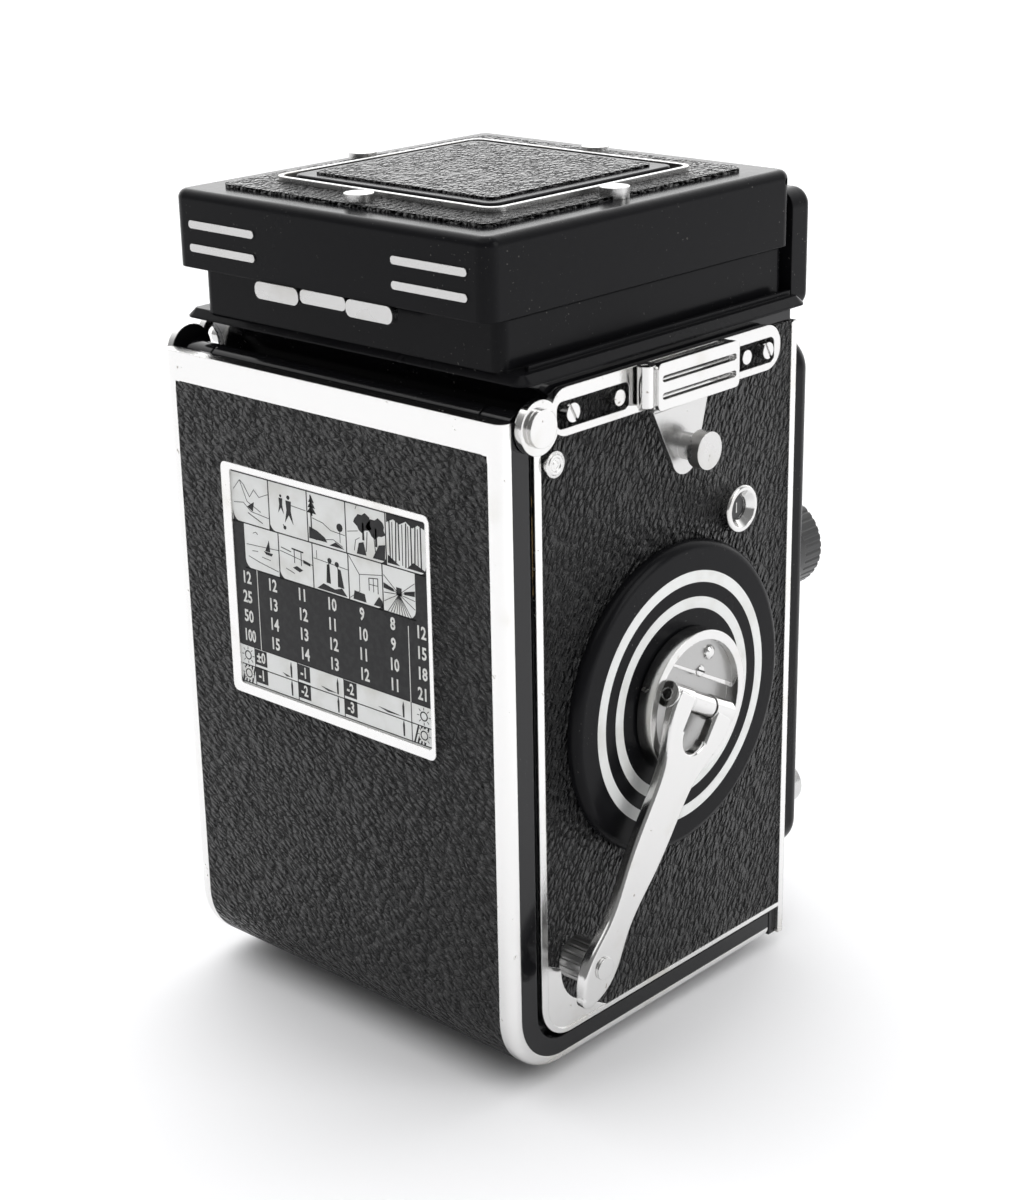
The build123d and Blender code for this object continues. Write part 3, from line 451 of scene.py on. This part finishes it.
def scene_cell(left, right, low, high, lines, blots):
    """A little picture: lines and blots are given on a square of 0 to 10 each way."""
    def at(point):
        return left + (right - left) * point[0] / 10, low + (high - low) * point[1] / 10
    shapes = []
    for width, points in lines:
        shapes += stroke([at(p) for p in points], width)
    shapes += [[at(p) for p in blot] for blot in blots]
    return shapes


def walker(u, v, tall):
    """A striding figure as three blots: head, body and legs."""
    head = arc(u, v + tall * 0.92, tall * 0.08, 0, 300, 5)
    body = [(u - tall * 0.10, v + tall * 0.45), (u - tall * 0.13, v + tall * 0.80),
            (u + tall * 0.13, v + tall * 0.80), (u + tall * 0.10, v + tall * 0.45)]
    legs = [(u - tall * 0.10, v + tall * 0.45), (u - tall * 0.20, v), (u, v + tall * 0.30),
            (u + tall * 0.20, v), (u + tall * 0.10, v + tall * 0.45)]
    return [head, body, legs]


def fir(u, v, tall):
    tiers = [[(u - tall * (0.26 - 0.05 * k), v + tall * (0.10 + 0.22 * k)), (u, v + tall * (0.42 + 0.2 * k)),
              (u + tall * (0.26 - 0.05 * k), v + tall * (0.10 + 0.22 * k))] for k in range(3)]
    return tiers + [[(u - 0.2, v), (u - 0.2, v + tall * 0.2), (u + 0.2, v + tall * 0.2), (u + 0.2, v)]]


def crown_tree(u, v, wide):
    leaves = [(u + wide * (0.5 + 0.09 * ((7 * k) % 3)) * cos(radians(24 * k)),
               v + wide * (0.38 + 0.06 * ((5 * k) % 4)) * sin(radians(24 * k))) for k in range(15)]
    return [leaves, [(u - 0.25, v - wide * 0.9), (u - 0.2, v), (u + 0.2, v), (u + 0.25, v - wide * 0.9)]]


THIN, LINE, BOLD = 0.09, 0.14, 0.24
mountains = scene_cell(
    TOP_EDGES[0], TOP_EDGES[1], ROW_HIGH, TALL,
    [(THIN, [(0.4, 6.2), (2.2, 8.2), (3.2, 7.6), (4.8, 5.4), (6.0, 7.0), (7.4, 5.8), (9.8, 6.8)]),
     (THIN, [(0.4, 3.6), (3.0, 4.0), (5.0, 2.6), (9.8, 2.2)]), (THIN, [(2.2, 8.2), (4.0, 4.4), (7.6, 3.0)]),
     (LINE, [(4.2, 2.2), (8.0, 0.9)])],
    [[(4.0, 3.4), (5.9, 4.6), (5.5, 2.7)]])
walkers = scene_cell(
    TOP_EDGES[1], TOP_EDGES[2], ROW_HIGH, TALL,
    [(THIN, [(5.6, 6.0), (9.6, 5.8)]), (LINE, [(3.6, 1.9), (3.9, 1.5)])],
    walker(3.2, 4.0, 3.6) + walker(5.2, 2.4, 5.4) + [arc(4.0, 1.4, 0.4, 0, 300, 5)])
fir_and_lake = scene_cell(
    TOP_EDGES[2], TOP_EDGES[3], ROW_HIGH, TALL,
    [(BOLD, [(1.0, 2.4), (1.0, 9.0)]), (THIN, [(1.4, 4.8), (4.0, 4.4), (6.0, 3.4), (9.7, 3.2)]),
     (THIN, [(8.4, 1.6), (8.4, 4.6)]), (THIN, [(2.0, 0.8), (6.6, 1.8), (9.0, 0.9)])],
    fir(1.2, 5.2, 4.6) + [[(0.3, 0.8), (0.4, 3.0), (2.4, 2.6), (4.4, 1.7), (5.0, 0.9)],
                          [(5.6, 0.5), (7.2, 1.4), (9.4, 0.5)], arc(8.4, 4.4, 0.8, 0, 320, 8)])
broad_trees = scene_cell(
    TOP_EDGES[3], TOP_EDGES[4], ROW_HIGH, TALL,
    [(THIN, [(0.4, 4.2), (3.0, 4.8)]), (THIN, [(2.6, 8.8), (3.0, 9.6), (4.6, 9.8)]),
     (LINE, [(5.0, 1.4), (5.4, 5.0)]), (LINE, [(7.4, 1.2), (7.0, 5.0)]),
     (THIN, [(2.0, 1.0), (2.4, 3.0), (3.4, 3.6)])],
    crown_tree(4.4, 6.6, 3.6) + crown_tree(7.6, 6.2, 3.8)
    + [[(2.6, 0.5), (3.2, 2.6), (4.4, 3.0), (5.0, 0.6)], [(6.6, 0.5), (8.2, 3.2), (9.8, 3.6), (9.6, 0.6)]])
birch_wood = scene_cell(
    TOP_EDGES[4], TOP_EDGES[5], ROW_HIGH, TALL,
    [(BOLD, [(u, 0.6 + 0.5 * (k % 3)), (u + 0.3 * (k % 2), 8.6)])
     for k, u in enumerate((1.0, 2.4, 3.3, 4.9, 6.4, 7.2, 8.8))]
    + [(LINE, [(u, 0.8), (u + 0.1, 8.2)]) for u in (1.6, 4.1, 5.6, 8.0)],
    [[(0.3, 8.0), (0.3, 9.8), (9.9, 9.8), (9.8, 8.4), (8.2, 8.9), (6.8, 8.1), (5.2, 9.0), (3.6, 8.2),
      (2.0, 8.8)],
     [(0.3, 0.5), (0.4, 2.0), (2.2, 1.1), (3.4, 0.5)], [(5.2, 0.5), (6.8, 1.8), (9.6, 0.9), (9.6, 0.5)]])
beach = scene_cell(
    LOW_EDGES[0], LOW_EDGES[1], FIELD_HIGH, ROW_HIGH,
    [(THIN, [(0.6, 5.4), (9.8, 6.0)]), (THIN, [(1.0, 2.8), (4.4, 2.0), (9.6, 1.2)]),
     (THIN, [(2.2, 4.2), (3.8, 4.4)]), (THIN, [(5.0, 3.4), (7.4, 3.2)]),
     (THIN, [(2.6, 8.2), (3.4, 8.6), (4.0, 8.2)])],
    [[(6.0, 5.0), (7.2, 7.6), (7.4, 5.0)], [(5.6, 4.9), (8.2, 4.8), (7.8, 4.2), (6.2, 4.3)]])
hut = scene_cell(
    LOW_EDGES[1], LOW_EDGES[2], FIELD_HIGH, ROW_HIGH,
    [(THIN, [(0.4, 6.2), (9.8, 5.0)]), (BOLD, [(4.0, 7.4), (7.2, 7.2)]), (LINE, [(4.6, 4.4), (4.6, 7.2)]),
     (LINE, [(6.6, 4.2), (6.6, 7.2)]), (THIN, [(2.0, 2.6), (4.4, 2.0)]), (LINE, [(0.8, 7.0), (3.6, 6.6)])],
    [[(4.0, 3.2), (5.2, 3.8), (7.0, 3.2), (6.0, 2.6)], [(7.2, 5.6), (9.2, 5.2), (9.2, 4.6), (7.2, 4.9)]])
pair = scene_cell(
    LOW_EDGES[2], LOW_EDGES[3], FIELD_HIGH, ROW_HIGH,
    [(THIN, [(0.4, 6.8), (9.8, 6.4)]), (LINE, [(4.4, 2.6), (4.6, 7.0)]), (LINE, [(7.2, 2.4), (7.0, 6.6)]),
     (THIN, [(1.2, 7.0), (1.2, 8.6)])],
    [[(1.0, 0.4), (2.8, 1.8), (6.0, 1.2), (8.0, 1.9), (9.4, 0.4)], arc(4.8, 7.2, 0.6, 0, 300, 6),
     arc(6.8, 6.8, 0.6, 0, 300, 6), [(3.7, 2.2), (4.0, 6.2), (4.7, 6.4), (4.9, 2.2)],
     [(6.9, 2.0), (7.0, 6.0), (7.8, 5.8), (8.6, 2.0)]])
parlour = scene_cell(
    LOW_EDGES[3], LOW_EDGES[4], FIELD_HIGH, ROW_HIGH,
    [(THIN, [(0.3, 9.6), (3.2, 6.2), (3.2, 2.6), (0.3, 0.6)]), (THIN, [(3.2, 6.2), (9.8, 7.4)]),
     (LINE, [(6.0, 3.4), (6.0, 6.0), (8.6, 6.4), (8.6, 3.2)]), (THIN, [(7.3, 3.3), (7.3, 6.2)]),
     (THIN, [(6.0, 4.7), (8.6, 4.8)])],
    [[(1.2, 0.5), (1.6, 2.4), (4.6, 2.2), (5.0, 0.5)], [(7.2, 0.5), (8.8, 2.6), (9.8, 1.8), (9.8, 0.5)]])
street = scene_cell(
    LOW_EDGES[4], LOW_EDGES[5], FIELD_HIGH - 1.2, ROW_HIGH,
    [(THIN, [(5.0, 5.2), (0.4 + 1.15 * k, 0.4)]) for k in range(9)]
    + [(THIN, [(5.0, 5.2), (0.4, 3.2 + 1.6 * k)]) for k in range(4)]
    + [(THIN, [(5.0, 5.2), (9.8, 3.2 + 1.6 * k)]) for k in range(4)],
    [[(4.2, 5.0), (4.2, 6.4), (5.8, 6.4), (5.8, 5.0)], [(0.3, 5.6), (0.3, 6.6), (3.4, 5.9), (3.4, 5.4)],
     [(6.6, 5.4), (6.6, 5.9), (9.8, 6.6), (9.8, 5.6)]])


def frame_lines():
    """Lines between the scenes, with the outer cells' lower corners rounded."""
    rules = [[(0.1, ROW_HIGH), (WIDE - 0.1, ROW_HIGH)],
             [(LEFT_COLUMN, FIELD_HIGH), (RIGHT_COLUMN, FIELD_HIGH)]]
    rules += [[(u, ROW_HIGH), (u, TALL - 0.3)] for u in TOP_EDGES[1:-1]]
    rules += [[(u, FIELD_HIGH), (u, ROW_HIGH)] for u in LOW_EDGES[1:-1]]
    rules += [[(0.2, TALL - 0.3), (WIDE - 0.2, TALL - 0.3)]]
    shapes = [bar for rule in rules for bar in stroke(rule, 0.2)]
    bend = 1.7
    for edges, low in ((TOP_EDGES, ROW_HIGH), (LOW_EDGES, FIELD_HIGH)):
        for u in edges[:2]:
            shapes.append([(u, low)] + arc(u + bend, low + bend, bend, 180, 270, 6))
        for u in edges[4:]:
            shapes.append([(u, low)] + arc(u - bend, low + bend, bend, 270, 360, 6))
    return shapes


def sun_sign(u, v):
    rays = [stroke([(u + 1.1 * cos(radians(45 * k)), v + 1.1 * sin(radians(45 * k))),
                    (u + 1.5 * cos(radians(45 * k)), v + 1.5 * sin(radians(45 * k)))],
                    0.12) for k in range(8)]
    return [bar for ray in rays for bar in ray] + stroke(arc(u, v, 0.75, 0, 360, 14), 0.2)


season = [bar for v in (0.25, 3.5, FIELD_LOW) for bar in stroke([(0.2, v), (WIDE - 0.2, v)], 0.16)]
season += [bar for u in (3.5, 14.2, 25.4, 41.0) for bar in stroke([(u, 0.2), (u, FIELD_LOW)], 0.16)]
for row, low in enumerate((3.6, 0.35)):
    for column, left in enumerate((3.6, 14.3, 25.5)):
        season.append([(left, low + 0.5), (left, low + 3.3), (left + 2.9, low + 3.3),
                       (left + 2.9, low + 0.5)])
        post = (12.6, 23.9, 39.2)[column]
        season.append([(post - 0.15, low + 0.3), (post - 0.25, low + 2.2), (post, low + 3.1),
                       (post + 0.2, low + 2.2), (post + 0.15, low + 0.3)])
        if row == 0:
            season.append([(post - 0.2, low + 0.4), (post - 1.8 * (column + 1) - 0.4, low + 0.75),
                           (post - 1.2 * (column + 1), low + 0.25)])
hatch = [bar for u0 in (0.2, 41.6) for k in range(4)
         for bar in stroke([(u0 + 0.75 * k, 0.4), (u0 + 0.75 * k + 0.9, 3.3)], 0.34)]
suns = sun_sign(1.75, 5.3) + sun_sign(WIDE - 1.9, 5.3)

black_field = [[(0.0, FIELD_LOW), (0.0, ROW_HIGH), (LEFT_COLUMN, ROW_HIGH), (LEFT_COLUMN, FIELD_HIGH),
                (RIGHT_COLUMN, FIELD_HIGH), (RIGHT_COLUMN, ROW_HIGH), (WIDE, ROW_HIGH), (WIDE, FIELD_LOW)]]
table_black = prisms(
    "table_black_print",
    black_field + frame_lines() + mountains + walkers + fir_and_lake + broad_trees + birch_wood + beach
    + hut + pair + parlour + street + season + hatch + suns, -0.02, BLACK_UP, on_table, black_print_and_shade)

VALUE_PLACES = (9.0, 16.3, 23.4, 30.5, 37.5)
VALUE_ROWS = (19.5, 16.0, 12.5, 9.0)
labels = [(str(12 + row - column), u, v, 2.1, 0.78)
          for row, v in enumerate(VALUE_ROWS) for column, u in enumerate(VALUE_PLACES)]
for text, v in zip(("12", "25", "50", "100"), VALUE_ROWS):
    labels.append((text, 2.6, v, 2.1, 0.78 if len(text) < 3 else 0.66))
labels += [(text, WIDE - 1.9, v, 2.1, 0.78) for text, v in zip(("12", "15", "18", "21"), VALUE_ROWS)]
SIGNS = (("\u00b10", "-1", "-2"), ("-1", "-2", "-3"))
for row, low in enumerate((3.6, 0.35)):
    labels += [(SIGNS[row][column], left + 1.45, low + 1.9, 1.9, 0.75)
               for column, left in enumerate((3.6, 14.3, 25.5))]


def figures_place(u, v, level):
    return on_table(u, v, (BLACK_UP + WHITE_UP) / 2 + level)


table_white = lettering("table_light_values", labels, 0.015, figures_place, white_ink)
halo = [arc(1.75, 2.0, 1.25, 0, 330, 11), arc(WIDE - 1.9, 2.0, 1.25, 0, 330, 11)]
rules = (stroke([(5.3, FIELD_LOW), (5.3, FIELD_HIGH)], 0.16)
         + stroke([(41.0, FIELD_LOW), (41.0, FIELD_HIGH - 1.4)], 0.16))
table_rules = prisms("table_white_rules", rules + halo, BLACK_UP, BLACK_UP + 0.02, on_table, white_ink)
table_suns = prisms("table_shaded_suns", sun_sign(1.75, 2.0) + sun_sign(WIDE - 1.9, 2.0), BLACK_UP + 0.02,
                    BLACK_UP + 0.04, on_table, black_print_and_shade)
for piece, slot in ((table_black, "black_paint"), (table_white, "white_enamel"),
                    (table_rules, "white_enamel"),
                    (table_suns, "black_paint")):
    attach(piece, "door")


# ---------------------------------------------------------------- small turned pieces
# Rivets, screws and windows turned from rod: each is a lathe profile spun round its axis.
def turned(name, profile, centre, axis, material):
    """Profile is (radius, height) in millimetres, height along the axis from centre."""
    art = bmesh.new()
    steps = 40
    rings = []
    for radius, height in profile:
        if radius == 0:
            rings.append([art.verts.new((0, 0, height * MM))])
        else:
            rings.append([art.verts.new((radius * MM * cos(2 * pi * k / steps),
                                         radius * MM * sin(2 * pi * k / steps),
                                         height * MM)) for k in range(steps)])
    for lower, upper in zip(rings, rings[1:]):
        for k in range(steps):
            j = (k + 1) % steps
            corners = (lower[k % len(lower)], lower[j % len(lower)], upper[j % len(upper)],
                       upper[k % len(upper)])
            art.faces.new(list(dict.fromkeys(corners)))
    bmesh.ops.recalc_face_normals(art, faces=art.faces)
    turn = Vector(axis).to_track_quat("Z", "Y").to_matrix().to_4x4()
    bmesh.ops.transform(art, matrix=Matrix.Translation(Vector(centre) * MM) @ turn, verts=art.verts)
    data = bpy.data.meshes.new(name)
    art.to_mesh(data)
    art.free()
    piece = bpy.data.objects.new(name, data)
    bpy.context.scene.collection.objects.link(piece)
    data.materials.append(material)
    return piece


def on_crank_side(level_zero):
    """Maps a flat (y, z, level) in millimetres onto the crank side, level counted outwards."""
    return lambda y, z, level: Vector((level_zero - level, y, z)) * MM


def box_centre(name):
    low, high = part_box(name)
    return (low + high) / 2 / MM


# The crank's hub carries a ground half-round plate held by a rivet and a slotted screw.
CRANK_Y, CRANK_Z = box_centre("crank_disc").y, box_centre("crank_disc").z
HUB_FLOOR, PLATE_FACE, HUB_INNER_R = -41.9, -42.9, 10.85
FOLD_TURN, PLATE_EDGE = radians(28.4), 4.75
rim = arc(CRANK_Y, CRANK_Z, HUB_INNER_R, 0, 359, 90)
upper = [p for p in arc(CRANK_Y, CRANK_Z, HUB_INNER_R, -60, 240, 120)
         if (p[1] - CRANK_Z) * cos(FOLD_TURN) - (p[0] - CRANK_Y) * sin(FOLD_TURN) > PLATE_EDGE]
hub_floor = prisms("hub_floor", [rim], -0.02, 0.03, on_crank_side(HUB_FLOOR), ground_steel)
hub_plate = prisms("hub_plate", [upper], -0.02, 0.04, on_crank_side(PLATE_FACE), ground_steel)
hub_rivet = turned("hub_rivet", [(0, 0.75), (0.7, 0.70), (1.15, 0.45), (1.3, 0.1), (1.3, -0.2), (0, -0.2)],
                   (PLATE_FACE, CRANK_Y - 4.35, CRANK_Z + 7.5), (-1, 0, 0), bright_chrome)
hub_screw = turned("hub_screw", [(0, 0.3), (0.85, 0.3), (1.05, 0.1), (1.05, -0.2), (0, -0.2)],
                   (PLATE_FACE, CRANK_Y - 2.15, CRANK_Z + 4.8), (-1, 0, 0), bright_chrome)
# painted shade: a thin black strip on the screw head stands in for the shade inside its slot
hub_slot_shade = prisms("hub_screw_slot_shade",
                  stroke([(CRANK_Y - 2.9, CRANK_Z + 4.4), (CRANK_Y - 1.4, CRANK_Z + 5.2)], 0.3),
                  0.28, 0.33, on_crank_side(PLATE_FACE), black_print_and_shade)
for piece, slot in ((hub_floor, "steel"), (hub_plate, "steel"), (hub_rivet, "chrome"), (hub_screw, "chrome"),
                    (hub_slot_shade, "black_paint")):
    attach(piece, "crank")

# The frame counter's drum behind its window, the corner screw with its turned rings and the
# black liners behind the strap plates' round ends.
counter = box_centre("counter_bezel")
counter_drum = turned("counter_drum", [(0, 0.05), (2.05, 0.0), (2.05, -0.3), (0, -0.3)],
                      (-39.25, counter.y, counter.z), (-1, 0, 0), knob_black)
counter_figure = prisms("counter_figure",
                        stroke([(counter.y + 0.2, counter.z - 0.8),
                                (counter.y + 0.2, counter.z + 0.8)], 0.25),
                        0.04, 0.08, on_crank_side(-39.3), white_ink)
CORNER_SCREW = (-39.9, 25.4, 107.0)
corner_rings = turned("corner_screw_rings",
                      [(0, 0.12), (0.5, 0.12), (0.65, 0.02), (1.05, 0.02), (1.15, 0.18), (1.55, 0.18),
                       (1.7, 0.03), (1.95, 0.0), (1.95, -0.2), (0, -0.2)],
                      CORNER_SCREW, (-1, 0, 0), bright_chrome)
STRAP_END = (29.4, 113.7)
liners = [turned(f"{side}_strap_liner", [(0, 0.06), (4.2, 0.06), (4.2, 0), (0, 0)],
                 (x, *STRAP_END), (-x, 0, 0), matt_black)
          for side, x in (("crank_side", -39.12), ("focus_side", 39.12))]
for piece, slot in ((counter_drum, "knob_black"), (counter_figure, "white_enamel"), (corner_rings, "chrome"),
                    (liners[0], "black_paint"), (liners[1], "black_paint")):
    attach(piece, "body")


# ---------------------------------------------------------------- milled edges and engraved rings
# Fine ribs round the bayonet rings and engraved lines round the setting wheels and the
# focusing knob: one shape repeated round a circle.
def ring_tree():
    """Geometry nodes: a bar repeated round a circle, each turned to face outwards."""
    tree = bpy.data.node_groups.new("bars_round_a_ring", "GeometryNodeTree")
    sockets = (("Count", "NodeSocketInt"), ("Radius", "NodeSocketFloat"), ("Bar", "NodeSocketVector"),
               ("Finish", "NodeSocketMaterial"))
    for name, kind in sockets:
        tree.interface.new_socket(name, in_out="INPUT", socket_type=kind)
    tree.interface.new_socket("Geometry", in_out="OUTPUT", socket_type="NodeSocketGeometry")
    given = tree.nodes.new("NodeGroupInput")
    count, radius, bar, finish = (Wire(tree, given.outputs[name]) for name, kind in sockets)
    circle = count.make("GeometryNodeMeshCircle", {}, {"Vertices": count, "Radius": radius})
    box = count.make("GeometryNodeMeshCube", {}, {"Size": bar})
    turn = count.make("GeometryNodeInputIndex") * (2 * pi) / count
    facing = count.make("CombineXYZ", {}, {"Z": turn})
    bars = count.make("GeometryNodeInstanceOnPoints", {},
                      {"Points": circle, "Instance": box, "Rotation": facing})
    real = count.make("GeometryNodeRealizeInstances", {}, {"Geometry": bars})
    coated = count.make("GeometryNodeSetMaterial", {}, {"Geometry": real, "Material": finish})
    tree.links.new(coated.socket, tree.nodes.new("NodeGroupOutput").inputs[0])
    return tree


BARS = ring_tree()


def ring_of_bars(name, count, radius, bar, centre, axis, finish):
    """Bar is the size of one rib along the radius, round the ring and along the axis, in mm."""
    carrier = bpy.data.objects.new(name + "_maker", bpy.data.meshes.new(name + "_maker"))
    bpy.context.scene.collection.objects.link(carrier)
    maker = carrier.modifiers.new("bars", "NODES")
    maker.node_group = BARS
    values = {"Count": count, "Radius": radius * MM, "Bar": [size * MM for size in bar], "Finish": finish}
    for item in BARS.interface.items_tree:
        if item.in_out == "INPUT":
            maker[item.identifier] = values[item.name]
    data = bpy.data.meshes.new_from_object(carrier.evaluated_get(bpy.context.evaluated_depsgraph_get()))
    bpy.data.objects.remove(carrier)
    turn = Vector(axis).to_track_quat("Z", "Y").to_matrix().to_4x4()
    data.transform(Matrix.Translation(Vector(centre) * MM) @ turn)
    piece = bpy.data.objects.new(name, data)
    bpy.context.scene.collection.objects.link(piece)
    return piece


ring_low, ring_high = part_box("bayonet_rings")
RING_R, RING_MIDDLE = 17.6, (ring_low.y + ring_high.y) / 2 / MM
lens_heights = {"taking": 47.8 + 2.0, "viewing": 89.8 + 2.0}
for which, height in lens_heights.items():
    milling = ring_of_bars(f"{which}_ring_milling", 96, RING_R, (0.3, 0.5, 1.6), (0, RING_MIDDLE, height),
                           (0, -1, 0), bright_chrome)
    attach(milling, "front_standard")
for node, body in (("shutter_speed_wheel", "shutter_wheel"), ("aperture_wheel", "stop_wheel")):
    hub = box_centre(node)
    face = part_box(node)[0].y / MM
    ticks = ring_of_bars(f"{node}_ticks", 24, 7.0, (1.3, 0.22, 0.06), (hub.x, face, hub.z), (0, -1, 0),
                         white_ink)
    boss = turned(f"{node}_cap", [(0, 0.5), (3.6, 0.45), (4.2, 0.1), (4.2, -0.1), (0, -0.1)],
                  (hub.x, face, hub.z), (0, -1, 0), matt_chrome)
    for piece, slot in ((ticks, "white_enamel"), (boss, "chrome")):
        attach(piece, body)

# The focusing knob: a ring of distance marks and their figures.
KNOB_STEP = 46.5
DISTANCES = ("\u221e", "20", "10", "5", "3", "2", "1.5", "1.2", "1")
knob_ticks = ring_of_bars("focus_knob_ticks", 60, 13.7, (0.9, 0.16, 0.05), (KNOB_STEP, CRANK_Y, CRANK_Z),
                          (1, 0, 0), white_ink)


def on_knob(turn):
    """Maps upright figures onto the knob's step, turned round its axis."""
    def place(u, v, level):
        out = 12.1 + v
        return Vector((KNOB_STEP + 0.03 + level, CRANK_Y + u * cos(turn) + out * sin(turn),
                       CRANK_Z - u * sin(turn) + out * cos(turn))) * MM
    return place


figures = [lettering(f"focus_figure_{k}", [(text, 0, 0, 1.5, 0.85)], 0.03, on_knob(radians(32 * k - 128)),
                     white_ink)
           for k, text in enumerate(DISTANCES)]
for piece in [knob_ticks] + figures:
    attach(piece, "focusing_knob")


# ---------------------------------------------------------------- front board covering
# Leather let into the front board round the lenses, wheels and controls, and the four
# slotted screws that hold the board to its focusing rods.
BOARD_FACE, LEATHER_THICK, SCREW_HEAD = -48.0, 0.3, 0.3


def rounded_outline(left, right, low, high, radius):
    outline = []
    for u, v, start in ((right - radius, high - radius, 0), (left + radius, high - radius, 90),
                        (left + radius, low + radius, 180), (right - radius, low + radius, 270)):
        outline += arc(u, v, radius, start, start + 90, 6)
    return outline


def on_board(x, z, level):
    """Maps a flat (x, z, level) in millimetres onto the front board, level counted forwards."""
    return Vector((x, BOARD_FACE - level, z)) * MM


def board_leather():
    """A thin rounded sheet, cut out by rods where the controls stand."""
    sheet = prisms("board_leather", [rounded_outline(-31.5, 31.5, 16.5, 110.5, 3.0)], -0.1, LEATHER_THICK,
                   on_board, side_leather)
    openings = [(0, lens_heights["taking"], 18.3), (0, lens_heights["viewing"], 17.7), (-24, 70.8, 9.4),
                (24, 70.8, 9.4), (-27, 23.5, 5.0), (27, 23.5, 4.4), (22.5, 32.0, 3.7)]
    cutter = prisms("board_cutter", [arc(x, z, r, 0, 354, 59) for x, z, r in openings]
                    + [[(-12.6, 60), (-12.6, 80), (12.6, 80), (12.6, 60)]], -3, 3,
                    on_board, side_leather)
    cut = sheet.modifiers.new("openings", "BOOLEAN")
    cut.operation, cut.solver, cut.use_self, cut.object = "DIFFERENCE", "EXACT", True, cutter
    data = bpy.data.meshes.new_from_object(sheet.evaluated_get(bpy.context.evaluated_depsgraph_get()))
    sheet.modifiers.clear()
    sheet.data = data
    bpy.data.objects.remove(cutter)
    return sheet


front_leather = board_leather()
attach(front_leather, "front_standard")
for k, (x, z) in enumerate(((-29.0, 104.0), (29.0, 104.0), (-29.0, 58.0), (29.0, 58.0))):
    screw = turned(f"board_screw_{k}", [(0, 0.35), (1.2, 0.3), (1.6, 0.1), (1.6, -0.2), (0, -0.2)],
                   (x, BOARD_FACE - LEATHER_THICK, z), (0, -1, 0), matt_chrome)
    # painted shade: a thin black strip on each screw head stands in for the shade inside its slot
    cut = prisms(f"board_screw_slot_shade_{k}", stroke([(x - 1.0, z - 0.5), (x + 1.0, z + 0.5)], 0.3),
                 LEATHER_THICK + SCREW_HEAD, LEATHER_THICK + SCREW_HEAD + 0.1, on_board, black_print_and_shade)
    for piece, slot in ((screw, "chrome"), (cut, "black_paint")):
        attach(piece, "front_standard")
